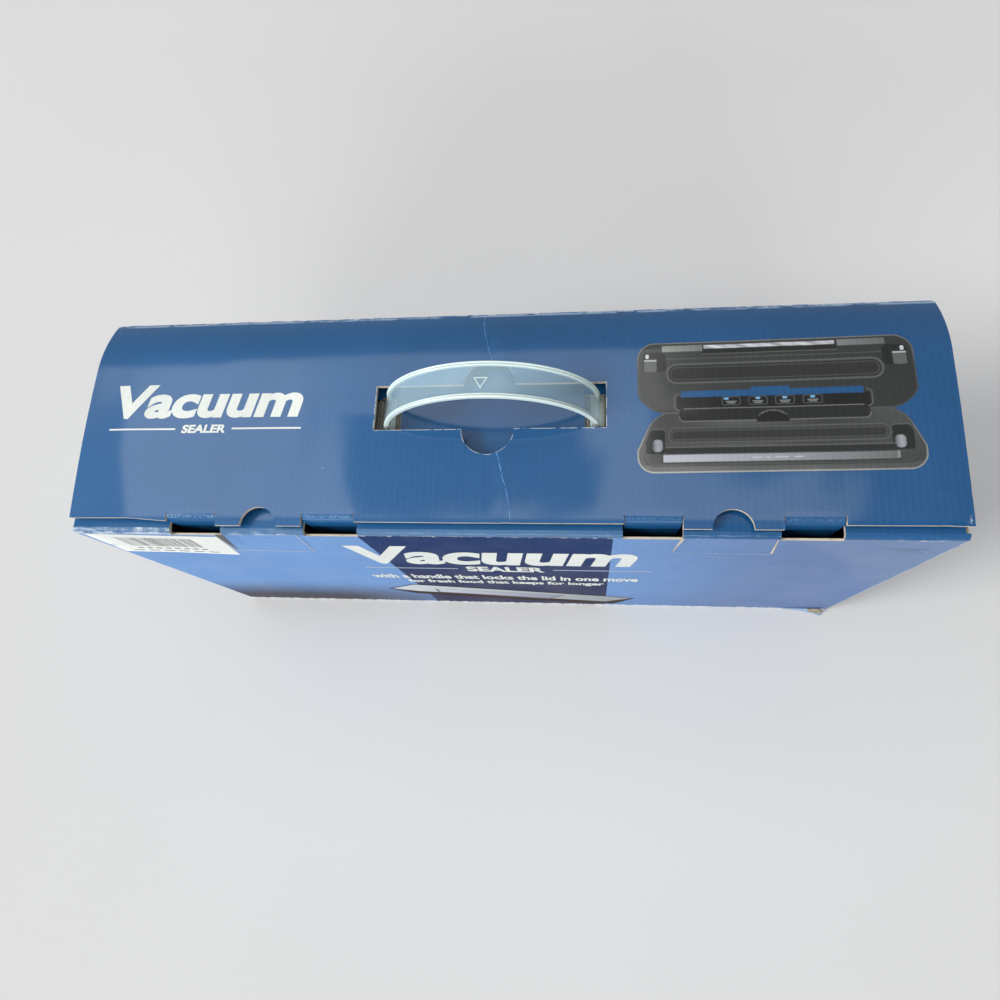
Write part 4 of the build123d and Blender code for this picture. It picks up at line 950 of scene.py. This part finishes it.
def rounded_section(a0, a1, thick, steps=5):
    """A round-cornered section from a0 to a1 across the strap, for swept()."""
    r = min(thick, a1 - a0) / 2
    points = []
    for (ca, co), start in (((a1 - r, thick / 2 - r), 0), ((a0 + r, thick / 2 - r), 90),
                            ((a0 + r, -thick / 2 + r), 180), ((a1 - r, -thick / 2 + r), 270)):
        for i in range(steps + 1):
            q = math.radians(start + 90 * i / steps)
            points.append((ca + r * math.cos(q), co + r * math.sin(q)))
    return points


STRAP_RIBS = ((0.0010, 0.0010, 0.0026), (0.0021, 0.0009, 0.0021))  # (in from the edge, width, thickness)
web = swept("strap_web", rounded_section(-STRAP_HALF + 0.0018, STRAP_HALF - 0.0018, 0.0011),
            MATERIALS["handle_plastic"])
for side, end in ((-1, "front"), (1, "back")):
    for row, (inset, width, thick) in enumerate(STRAP_RIBS, 1):
        lo, hi = sorted((side * (STRAP_HALF - inset), side * (STRAP_HALF - inset + width)))
        swept(f"strap_rib_{end}_{row}", rounded_section(lo, hi, thick, 4), RIB)
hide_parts("carry_handle")


def strap_feet():
    """The flat feet under the inner flap that keep the strap in its slots."""
    bm = bmesh.new()
    for side in (-1, 1):
        foot = bmesh.ops.create_cube(bm, size=1)["verts"]
        bmesh.ops.scale(bm, vec=(0.0135, 0.0255, 0.0017), verts=foot)
        bmesh.ops.translate(bm, vec=(side * ARCH_HALF, HANDLE_MID, handle_lo.z + 0.0009), verts=foot)
    bmesh.ops.bevel(bm, geom=[e for e in bm.edges], offset=0.0006, segments=3, affect="EDGES")
    new_piece("strap_feet", mesh_of(bm, "strap_feet"), [RIB], "carry_handle")


def strap_mark():
    """A small moulded triangle in the middle of the strap, its point towards the front."""
    bm = bmesh.new()
    reach, line, lift = 0.0052 / 1.4, 0.00040, 0.0002
    loops = []
    for r in (reach, reach - 2 * line):
        corners = []
        for k in range(3):
            a = math.radians(-90 + 120 * k)
            y = HANDLE_MID - 0.0010 + r * math.sin(a)
            corners.append(bm.verts.new((r * math.cos(a), y, handle_hi.z - 0.0001)))
        loops.append(corners)
    outer, inner = loops
    for k in range(3):
        bm.faces.new((outer[k], outer[k - 2], inner[k - 2], inner[k]))
    raised = bmesh.ops.extrude_face_region(bm, geom=bm.faces[:])["geom"]
    bmesh.ops.translate(bm, vec=(0, 0, lift), verts=[g for g in raised if isinstance(g, bmesh.types.BMVert)])
    bmesh.ops.recalc_face_normals(bm, faces=bm.faces)
    new_piece("strap_mark", mesh_of(bm, "strap_mark"), [RIB], "carry_handle", smooth=False)


strap_feet()
strap_mark()


# -------------------- bared flutes round the handle's slots
FLUTES = kraft("bared_flutes", (0.36, 0.335, 0.295))


def bared_flutes(name, x0, x1, y0, y1):
    """A ribbed patch of board whose liner came off when the slot was cut."""
    bm = bmesh.new()
    columns = breaks(x0, x1, 0.00035)
    rows = []
    for y in breaks(y0, y1, 0.002):
        row = []
        for x in columns:
            rib = 0.00032 * (0.5 + 0.5 * math.sin(4 * math.pi * x / FLUTE))
            rough = 0.0001 * ripple(x * 900, y * 300, 2)
            fray = 0.0005 * ripple(x * 500, y * 20, 7) if y in (y0, y1) else 0.0
            row.append(bm.verts.new((x, y + fray, CREASE_Z + rib + rough)))
        rows.append(row)
    for a, b in zip(rows, rows[1:]):
        for i in range(len(columns) - 1):
            bm.faces.new((a[i], a[i + 1], b[i + 1], b[i]))
    bmesh.ops.solidify(bm, geom=bm.faces[:], thickness=0.0003)
    new_piece(name, mesh_of(bm, name), [FLUTES], "inner_flap")


for end, x0, x1 in (("left", -0.0625, -0.0560), ("left_inner", -0.0492, -0.0472),
                    ("right", 0.0560, 0.0600), ("right_inner", 0.0472, 0.0492)):
    bared_flutes(f"slot_flutes_{end}", x0, x1, HANDLE_MID - 0.0100, HANDLE_MID + 0.0088)


# ==================== printed artwork
INK_UP = 0.00006


def lay_on_lid(x, y, up):
    z, slope = lid_surface(y)
    n = Vector((0, -slope, 1)).normalized()
    return Vector((x, y, z + lid_wave(x, y))) + n * up


def lay_on_front(x, z, up):
    return Vector((x, FRONT_Y + front_bulge(x, z) - up - 0.00002, z))


def print_shape(name, bm, place, up, material, body, step=0.0028):
    """Lays flat faces, drawn in X and Y, on a curved surface as a thin film of ink."""
    for axis in (0, 1):
        lo = min(v.co[axis] for v in bm.verts)
        hi = max(v.co[axis] for v in bm.verts)
        normal = Vector((1, 0, 0)) if axis == 0 else Vector((0, 1, 0))
        for k in range(math.ceil(lo / step), math.floor(hi / step) + 1):
            bmesh.ops.bisect_plane(bm, geom=bm.verts[:] + bm.edges[:] + bm.faces[:],
                                   plane_co=normal * (k * step), plane_no=normal)
    for v in bm.verts:
        v.co = place(v.co.x, v.co.y, up)
    return new_piece(name, mesh_of(bm, name), [material], body)


def word(text, x0, x1, y0, y1, weight=0.0, lean=0.0):
    """Plain lettering as flat faces that fill the box, leaning over to the right."""
    curve = bpy.data.curves.new("word", "FONT")
    curve.body = text
    curve.offset = weight
    curve.resolution_u = 6
    bm = bmesh.new()
    bm.from_mesh(used_up(in_scene("word", curve)))
    bmesh.ops.remove_doubles(bm, verts=bm.verts, dist=1e-5)
    for v in bm.verts:
        v.co.x += v.co.y * lean
    lo = [min(v.co[i] for v in bm.verts) for i in (0, 1)]
    hi = [max(v.co[i] for v in bm.verts) for i in (0, 1)]
    wide, high = (x1 - x0) / (hi[0] - lo[0]), (y1 - y0) / (hi[1] - lo[1])
    for v in bm.verts:
        v.co = (x0 + (v.co.x - lo[0]) * wide, y0 + (v.co.y - lo[1]) * high, 0)
    return bm


def bars(boxes):
    """Flat rectangles, one for each (x0, x1, y0, y1)."""
    bm = bmesh.new()
    for x0, x1, y0, y1 in boxes:
        bm.faces.new([bm.verts.new(p) for p in ((x0, y0, 0), (x1, y0, 0), (x1, y1, 0), (x0, y1, 0))])
    return bm


def on_top(name, shape):
    return print_shape(name, shape, lay_on_lid, INK_UP, WHITE_INK, "outer_lid")


def on_face(name, shape, material):
    return print_shape(name, shape, lay_on_front, INK_UP, material, "carton", step=0.006)


on_top("lid_title", word("Vacuum", -0.2000, -0.0965, -0.0014, 0.0178, 0.040, 0.18))
on_top("lid_subtitle", word("SEALER", -0.1605, -0.1365, -0.0096, -0.0050, 0.040, 0.15))
on_top("lid_rules", bars([(x, x + 0.0370, -0.0077, -0.0068) for x in (-0.2010, -0.1330)]))
on_face("front_title", word("Vacuum", -0.080, 0.074, 0.133, 0.177, 0.040, 0.18), WHITE_INK)
on_face("front_subtitle", word("SEALER", -0.023, 0.023, 0.114, 0.128, 0.040), WHITE_INK)
on_face("front_rules", bars([(x, x + 0.056, 0.1205, 0.1222) for x in (-0.084, 0.028)]), PALE_INK)
FRONT_LINES = (("with a handle that locks the lid in one move", -0.088, 0.078, 0.0895),
               ("for fresh food that keeps for longer", -0.068, 0.058, 0.0725))
for number, (text, x0, x1, z0) in enumerate(FRONT_LINES, 1):
    on_face(f"front_line_{number}", word(text, x0, x1, z0, z0 + 0.0130, 0.034), WHITE_INK)

# the label is stuck on a little askew and bears a made-up bar pattern
LABEL = ((label_lo.x, WALL_TOP - 0.0405), (label_hi.x - 0.0055, WALL_TOP - 0.0480),
         (label_hi.x + 0.0025, WALL_TOP - 0.0060), (label_lo.x + 0.0015, WALL_TOP - 0.0012))


def lay_on_label(u, v, up):
    """A place on the label, from (0, 0) at its lower left to (1, 1)."""
    low = Vector(LABEL[0]).lerp(Vector(LABEL[1]), u)
    x, z = low.lerp(Vector(LABEL[3]).lerp(Vector(LABEL[2]), u), v)
    return lay_on_front(x, z, up + 0.00008)


def on_label(name, shape, up, material, step):
    return print_shape(name, shape, lay_on_label, up, material, "carton", step)


label = on_label("label_sheet", bars([(0, 1, 0, 1)]), 0.0, MATERIALS["label_paper"], 0.08)
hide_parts("barcode_label")
draw = random.Random(5)
code = []
x = 0.17
while x < 0.76:
    wide = draw.choice((0.005, 0.005, 0.010, 0.014))
    code.append((x, x + wide, 0.36, 0.84))
    x += wide + draw.choice((0.007, 0.012, 0.016))
code += [(0.18 + 0.078 * k, 0.225 + 0.078 * k, 0.22, 0.27) for k in range(8)]
code += [(0.10 + 0.13 * k, 0.19 + 0.13 * k, 0.08, 0.12) for k in range(6)]
on_label("label_bars", bars(code), 0.00004, LABEL_INK, 0.1)


# -------------------- printed pictures of the machine
def tone(red, green, blue):
    """A screen colour from 0 to 255, made linear."""
    return tuple(((c / 255 + 0.055) / 1.055) ** 2.4 for c in (red, green, blue))


class Picture:
    """A picture built up from soft-edged shapes, in millimetres, on a fine grid of cells."""

    def __init__(self, x0, x1, y0, y1, cell, rise):
        columns, rows = round((x1 - x0) / cell), round((y1 - y0) / cell)
        self.at_x, self.at_y = np.meshgrid(np.linspace(x0, x1, columns + 1), np.linspace(y0, y1, rows + 1))
        self.x = self.at_x - (x0 + x1) / 2
        self.y = self.at_y - rise * self.x
        self.colour = np.zeros((rows + 1, columns + 1, 3))
        self.cover = np.zeros((rows + 1, columns + 1))
        self.cell = cell

    def box(self, x0, x1, y0, y1, r=0.0, squeeze=1.0):
        """Distance to a round-cornered box."""
        dx = np.abs(self.x * squeeze - (x0 + x1) / 2) - (x1 - x0) / 2 + r
        dy = np.abs(self.y - (y0 + y1) / 2) - (y1 - y0) / 2 + r
        return np.hypot(np.maximum(dx, 0), np.maximum(dy, 0)) + np.minimum(np.maximum(dx, dy), 0) - r

    def shape(self, points):
        """Distance to a convex outline whose corners run clockwise."""
        worst = np.full(self.x.shape, -1e9)
        for (x0, y0), (x1, y1) in zip(points, points[1:] + points[:1]):
            away = (self.at_y - y0) * (x1 - x0) - (self.at_x - x0) * (y1 - y0)
            worst = np.maximum(worst, away / math.hypot(x1 - x0, y1 - y0))
        return worst

    def fill(self, distance, colour):
        """Colours what is inside. A tuple is a screen colour, an array is already linear."""
        colour = np.asarray(tone(*colour) if isinstance(colour, tuple) else colour)
        share = np.clip(0.5 - distance / self.cell, 0, 1)
        self.colour += (colour - self.colour) * share[..., None]
        self.cover = np.maximum(self.cover, share)

    def block(self, x0, x1, y0, y1, r, colour):
        self.fill(self.box(x0, x1, y0, y1, r), colour)

    def line(self, distance, colour, width, within=None):
        edge = np.abs(distance) - width / 2
        self.fill(edge if within is None else np.maximum(edge, within), colour)

    def clear(self, distance):
        self.cover *= np.clip(0.5 + distance / self.cell, 0, 1)

    def across(self, x0, x1, left, right):
        """A linear colour that runs from left to right."""
        t = np.clip((self.x - x0) / (x1 - x0), 0, 1)[..., None]
        return np.asarray(tone(*left)) * (1 - t) + np.asarray(tone(*right)) * t

    def lay(self, name, place, material, body):
        inked = self.cover > 0.01
        wanted = inked[:-1, :-1] | inked[1:, :-1] | inked[:-1, 1:] | inked[1:, 1:]
        index = np.full(inked.shape, -1)
        faces = []
        for j, i in zip(*np.nonzero(wanted)):
            faces.append([(j, i), (j, i + 1), (j + 1, i + 1), (j + 1, i)])
            for c in faces[-1]:
                index[c] = 0
        used = np.argwhere(index == 0)
        for n, (j, i) in enumerate(used):
            index[j, i] = n
        points = [place(self.at_x[j, i] * MM, self.at_y[j, i] * MM, INK_UP) for j, i in used]
        mesh = bpy.data.meshes.new(name)
        mesh.from_pydata(points, [], [[int(index[c]) for c in face] for face in faces])
        flat = [value for j, i in used for value in (*self.colour[j, i], 1.0)]
        mesh.attributes.new("print", "FLOAT_COLOR", "POINT").data.foreach_set("color", flat)
        cover = [self.cover[j, i] for j, i in used]
        mesh.attributes.new("cover", "FLOAT", "POINT").data.foreach_set("value", cover)
        return new_piece(name, mesh, [material], body)


HINGE_BLOCKS = (  # in the lid's two upper corners: x0, x1, y0, y1, roundness and colour
    (49.5, 60.5, 20.5, 31.0, 2.5, (24, 26, 25)),
    (54.0, 60.0, 20.4, 26.4, 1.0, (88, 91, 90)),
    (54.0, 60.0, 26.2, 27.0, 0.3, (170, 176, 178)),
    (57.6, 59.2, 27.6, 30.0, 0.7, (196, 202, 204)),
)


def open_machine(p):
    """The machine with its lid raised, seen from the front."""
    wide = np.clip((p.y + 20) / 18, 0, 1)
    base = p.box(-64, 64, -31, -0.8, 8, 64 / (64 - 8 * wide))
    fade = np.clip((p.y + 31) / 30, 0, 1)[..., None]
    p.fill(base, p.across(-64, 64, (168, 170, 168), (140, 142, 142)) * (1 - 0.75 * fade))
    deck = p.across(-64, 64, (84, 86, 84), (64, 66, 66))
    p.fill(base + 0.8, deck * (0.82 + 0.3 * np.cos(p.x * 0.09 + 1.2)[..., None] * fade))
    p.fill(np.maximum(base + 0.9, p.y + 27.2), p.across(-64, 64, (92, 94, 92), (72, 74, 74)))
    p.line(base + 3.4, (46, 48, 47), 0.4, p.y + 22)
    for x0, x1 in ((-60.0, -51.0), (49.6, 58.8)):
        pocket = np.maximum(p.box(x0, x1, -21.5, -9.5, 1.2), base + 2.2)
        p.fill(pocket, (26, 28, 28))
        roller = -54.6 if x0 < 0 else 52.8
        round_it = np.cos(np.clip((p.x - roller - 0.6) / 3.0, -1, 1) * 1.45)[..., None]
        barrel = p.box(roller - 2.3, roller + 2.5, -20.6, -14.6, 2.0)
        p.fill(barrel, round_it * np.asarray(tone(148, 150, 158)))
        p.line(pocket, (96, 98, 97), 0.35, -10.4 - p.y)
    seal = p.box(-50, 50, -17.0, -8.2, 4.4)
    p.fill(seal, (54, 57, 54))
    p.line(seal + 0.7, (82, 84, 80), 0.7)
    p.line(seal + 2.2, (66, 68, 65), 0.5)
    p.fill(seal + 2.7, (42, 44, 42))
    p.block(-51, 51, -21.6, -18.6, 0.4, (34, 36, 35))
    p.block(-51, 51, -18.7, -18.3, 0.0, (96, 98, 94))
    p.block(-52.6, 52.2, -26.2, -21.8, 0.3, (40, 42, 42))
    p.block(-52.0, 51.6, -25.7, -22.1, 0.2, p.across(-52, 52, (178, 179, 190), (98, 100, 101)))
    p.block(51.0, 52.2, -25.4, -22.0, 0.2, (130, 132, 134))
    for x0, x1 in ((-12.0, -7.5), (-5.8, -4.0), (-2.2, 4.2), (6.6, 10.6)):
        p.block(x0, x1, -24.3, -23.6, 0.2, (176, 178, 188))

    low = np.clip((8 - p.y) / 8, 0, 1)
    lid = p.box(-63.3, 63.3, -1.3, 36.4, 9, 63.3 / (63.3 - 3.5 * low))
    high = np.clip((p.y - 20) / 16, 0, 1)[..., None]
    p.fill(lid, p.across(-63, 63, (110, 112, 111), (104, 106, 108)) * (0.45 + 0.85 * high))
    p.fill(lid + 0.6, p.across(-63, 63, (56, 59, 57), (44, 46, 46)) * (0.9 + 0.2 * high))
    p.block(-51.2, -31.6, 31.2, 34.6, 0.3, p.across(-51, -31, (142, 144, 140), (112, 114, 111)))
    p.block(30.2, 51.4, 31.4, 34.8, 0.3, p.across(30, 51, (120, 122, 124), (96, 99, 100)))
    p.block(-32.0, 29.6, 28.8, 34.4, 0.4, (28, 30, 29))
    streak = 0.72 + 0.28 * np.sin(p.x * 0.55 + p.y * 1.6) * np.sin(p.x * 0.21 + 1.0)
    p.block(-31.4, 29.0, 32.4, 34.4, 0.3, streak[..., None] * np.asarray(tone(212, 214, 220)))
    p.line(p.y - 29.4, (98, 100, 97), 0.4, p.box(-32, 30, 25, 34))
    p.line(p.y - 27.2, (80, 82, 79), 0.4, p.box(-50, 50, 25, 34))
    for side in (-1, 1):
        for inner, outer, y0, y1, r, colour in HINGE_BLOCKS:
            p.block(*sorted((side * inner, side * outer)), y0, y1, r, colour)
    seal = p.box(-50, 50, 13.4, 25.0, 5.6)
    p.fill(seal, (52, 55, 52))
    p.line(seal + 0.8, (84, 87, 82), 0.9)
    p.line(seal + 1.9, (30, 32, 30), 0.5)
    p.fill(seal + 2.4, (38, 40, 38))
    p.line(seal + 2.6, (70, 72, 69), 0.4)
    p.block(-45.0, 42.0, 0.4, 6.9, 0.8, (13, 14, 15))
    p.clear(np.minimum(p.box(-43.0, 39.5, 6.6, 9.9), p.box(-10.5, 7.0, 9.0, 11.3, 0.2)))
    for x in (-43.8, 40.6):
        outer_half = p.x * math.copysign(1, -x) + abs(x)
        p.line(p.box(x - 2.4, x + 2.4, 0.0, 8.6, 2.2), (96, 99, 96), 0.45, outer_half)
    for n, x in enumerate((-20.0, -7.8, 4.4, 16.8)):
        p.line(p.box(x - 4.2, x + 4.2, 2.2, 6.3, 0.9), (80, 83, 85), 0.35)
        shift = -2.2 if n == 0 else 0.0
        p.block(x + shift - 1.0, x + shift + 1.0, 4.9, 5.9, 0.1, (120, 176, 220))
        p.block(x - 2.4, x + 2.4, 3.7, 4.1, 0.1, (140, 144, 146))
        p.block(x - 1.8, x + 1.8, 2.9, 3.3, 0.1, (140, 144, 146))
    console = p.box(-44.0, 41.5, -5.7, 0.6, 2.2)
    p.fill(console, (28, 30, 29))
    p.line(console, (112, 114, 110), 0.4, p.y + 3.2)
    p.line(p.y - 0.7, (120, 122, 118), 0.35, p.box(-42, 39, -1, 2))
    scoop = (np.hypot(p.x + 1.5, (p.y + 6.4) * 1.3) - 7.4)
    p.fill(np.maximum(scoop, -6.6 - p.y), (15, 16, 16))
    p.line(scoop, (92, 94, 92), 0.5, -3.4 - p.y)
    p.line(np.hypot(p.x + 1.5, (p.y + 2.6) * 3.4) - 4.6, (96, 98, 96), 0.6, -2.6 - p.y)


def shut_machine(p):
    """The machine with its lid shut, seen from above and to one side."""
    outline = p.shape([(-90, 49), (-69, 67), (66, 35), (80, 29), (66, 5), (-2, 14), (-74, 32)])
    p.fill(outline, (62, 52, 50))
    lid = p.shape([(-88, 50), (-69, 66), (66, 34), (78, 29), (60, 14), (-70, 41)])
    p.fill(lid, p.across(-70, 70, (196, 204, 208), (150, 156, 160)))
    p.fill(p.shape([(-57, 52), (32, 35), (20, 20), (-57, 38)]), (118, 120, 130))
    window = p.shape([(-55, 51), (29, 34), (20, 23), (-55, 40)])
    p.fill(window, p.across(-55, 20, (196, 198, 210), (150, 152, 168)))
    p.line(outline + 0.8, (70, 62, 58), 1.2)


cell = 0.3
drawing = Picture(71, 199, -33, 38, cell, 0.015)
open_machine(drawing)
drawing.lay("lid_picture", lay_on_lid, picture_ink("lid_picture_ink", top_blue, 1.0), "outer_lid")
drawing = Picture(-92, 82, 3, 69, 2 * cell, 0.0)
shut_machine(drawing)
drawing.lay("front_picture", lay_on_front, picture_ink("front_picture_ink", front_blue, 0.02), "carton")


# -------------------- knife cuts and scuffs in the front
def slivers(lines):
    """Long thin quadrilaterals along each (x0, y0, x1, y1, width at start, width at end)."""
    bm = bmesh.new()
    for x0, y0, x1, y1, w0, w1 in lines:
        run = Vector((x1 - x0, y1 - y0)).normalized()
        side = Vector((-run.y, run.x)) / 2
        corners = ((x0 - side.x * w0, y0 - side.y * w0), (x1 - side.x * w1, y1 - side.y * w1),
                   (x1 + side.x * w1, y1 + side.y * w1), (x0 + side.x * w0, y0 + side.y * w0))
        bm.faces.new([bm.verts.new((*c, 0)) for c in corners])
    return bm


TOP, FOOT = 0.1975, WALL_TOP - 0.036  # heights of the ends of the cuts beside the tongues
on_face("tongue_gap", slivers([(-0.1374, TOP, -0.1440, FOOT + 0.001, 0.0046, 0.0004)]),
        ink("gap_shadow", (0.010, 0.010, 0.012)))
on_face("tongue_cuts", slivers([
    (-0.1400, TOP, -0.1462, FOOT, 0.0008, 0.0004),
    (-0.0965, TOP, -0.1000, FOOT, 0.0004, 0.0004),
    (0.0920, TOP, 0.0900, FOOT + 0.008, 0.0016, 0.0005),
    (0.1345, TOP, 0.1380, FOOT + 0.006, 0.0005, 0.0012),
]), KRAFT_EDGE)
on_face("tongue_creases", slivers([
    (-0.1455, FOOT, -0.1000, FOOT - 0.002, 0.0012, 0.0009),
    (0.0895, FOOT + 0.006, 0.1380, FOOT + 0.004, 0.0005, 0.0008),
]), PALE_INK)
on_face("front_cracks", slivers([
    (0.1850, 0.1815, 0.1960, 0.1800, 0.0003, 0.0010),
    (0.1960, 0.1800, 0.2060, 0.1820, 0.0010, 0.0003),
    (0.1930, 0.1770, 0.2050, 0.1760, 0.0002, 0.0006),
]), ink("crack_ink", (0.045, 0.075, 0.130)))
on_face("front_scuffs", slivers([(-0.1180, 0.1890, -0.1120, 0.1865, 0.0004, 0.0003)]), PALE_INK)


# -------------------- the torn lower corner of the front
def torn_corner():
    """Plies of board bent out where the lower right corner has been knocked."""
    bm = bmesh.new()
    x0, x1, rows, columns = front_hi.x - 0.0300, front_hi.x - 0.0045, 7, 14
    ply = []
    for j in range(rows + 1):
        line = []
        for i in range(columns + 1):
            t, u = i / columns, j / rows
            jag = ripple(t * 7, u * 5, 4) * 0.0012
            out = 0.0003 + 0.0042 * t ** 1.6 * (1 - 0.75 * u) + jag * t
            z = 0.0004 + (0.0065 * u + 0.0010 * ripple(t * 9, 3, 1)) * (0.35 + 0.65 * t)
            line.append(bm.verts.new((x0 + (x1 - x0) * t + jag, FRONT_Y - out, max(0.0003, z))))
        ply.append(line)
    for j in range(rows):
        for i in range(columns):
            face = bm.faces.new((ply[j][i], ply[j][i + 1], ply[j + 1][i + 1], ply[j + 1][i]))
            face.material_index = 1 if i > 8 and j > 1 else 0
    bmesh.ops.solidify(bm, geom=bm.faces[:], thickness=0.0005)
    liner = paper("torn_liner", (0.50, 0.70, 0.92))
    new_piece("torn_corner", mesh_of(bm, "torn_corner"), [liner, KRAFT_EDGE], "carton")


torn_corner()


# ==================== stage, light, camera
CEILING_Z = 1.9


def stage_floor():
    mesh = bpy.data.meshes.new("floor")
    mesh.from_pydata([(-6, -6, 0), (6, -6, 0), (6, 6, 0), (-6, 6, 0)], [], [(0, 1, 2, 3)])
    floor = in_scene("floor", mesh)
    k = Mat("floor_paper", Roughness=0.9, Specular_IOR_Level=0.1)
    k.set("Base Color", k.shade((0.655, 0.655, 0.655), k.noise(3, 2.0), 0.985, 1.01))
    mesh.materials.append(k.done())


def area_light(name, place, aim, size, power, colour=(1, 1, 1)):
    data = bpy.data.lights.new(name, "AREA")
    data.shape = "RECTANGLE"
    data.size, data.size_y = size
    data.energy = power
    data.color = colour
    lamp = in_scene(name, data)
    lamp.location = place
    lamp.rotation_euler = (Vector(aim) - Vector(place)).to_track_quat("-Z", "Y").to_euler()
    return lamp


def ceiling(name, x0, x1, y0, y1, glow, turn=0.0):
    """A flat soft panel overhead, of the given radiance."""
    x, y, wide, deep = (x0 + x1) / 2, (y0 + y1) / 2, x1 - x0, y1 - y0
    panel = area_light(name, (x, y, CEILING_Z), (x, y, 0), (wide, deep), glow * math.pi * wide * deep)
    panel.rotation_euler = (0, 0, math.radians(turn))


stage_floor()
ceiling("panel_left", -1.50, -0.72, -0.45, 1.25, 1.50, 14)
ceiling("panel_front", -0.85, 0.75, -0.55, 0.13, 1.45)
ceiling("panel_gap", 0.04, 0.26, 0.13, 0.70, 1.3)
ceiling("panel_right", 0.26, 0.75, 0.13, 0.33, 1.1)
ceiling("panel_back", -0.95, 0.35, 0.66, 1.40, 1.0)
sun = in_scene("key_light", bpy.data.lights.new("key_light", "SUN"))
sun.data.energy = 2.15
sun.data.angle = math.radians(24)
sun.data.color = (1.0, 0.995, 0.98)
sun.rotation_euler = Vector((2.5, 0.9, -2.1)).to_track_quat("-Z", "Y").to_euler()
area_light("front_fill", (-0.5, -4.6, 1.8), (0, 0, 0.10), (3.6, 1.6), 122, (0.98, 0.99, 1.0))
world = bpy.data.worlds.new("studio")
bpy.context.scene.world = world
world.use_nodes = True
sky = world.node_tree.nodes["Background"].inputs
sky["Color"].default_value = (0.97, 0.985, 1.0, 1)
sky["Strength"].default_value = 0.27

camera_data = bpy.data.cameras.new("camera")
camera_data.lens, camera_data.sensor_width = 25.18, 36.0
camera = in_scene("camera", camera_data)
camera.location = (0.0492, -0.1427, 0.5205)
camera.rotation_euler = tuple(math.radians(a) for a in (17.51, 6.98, 2.32))
bpy.context.scene.camera = camera
bpy.context.scene.view_settings.view_transform = "Standard"
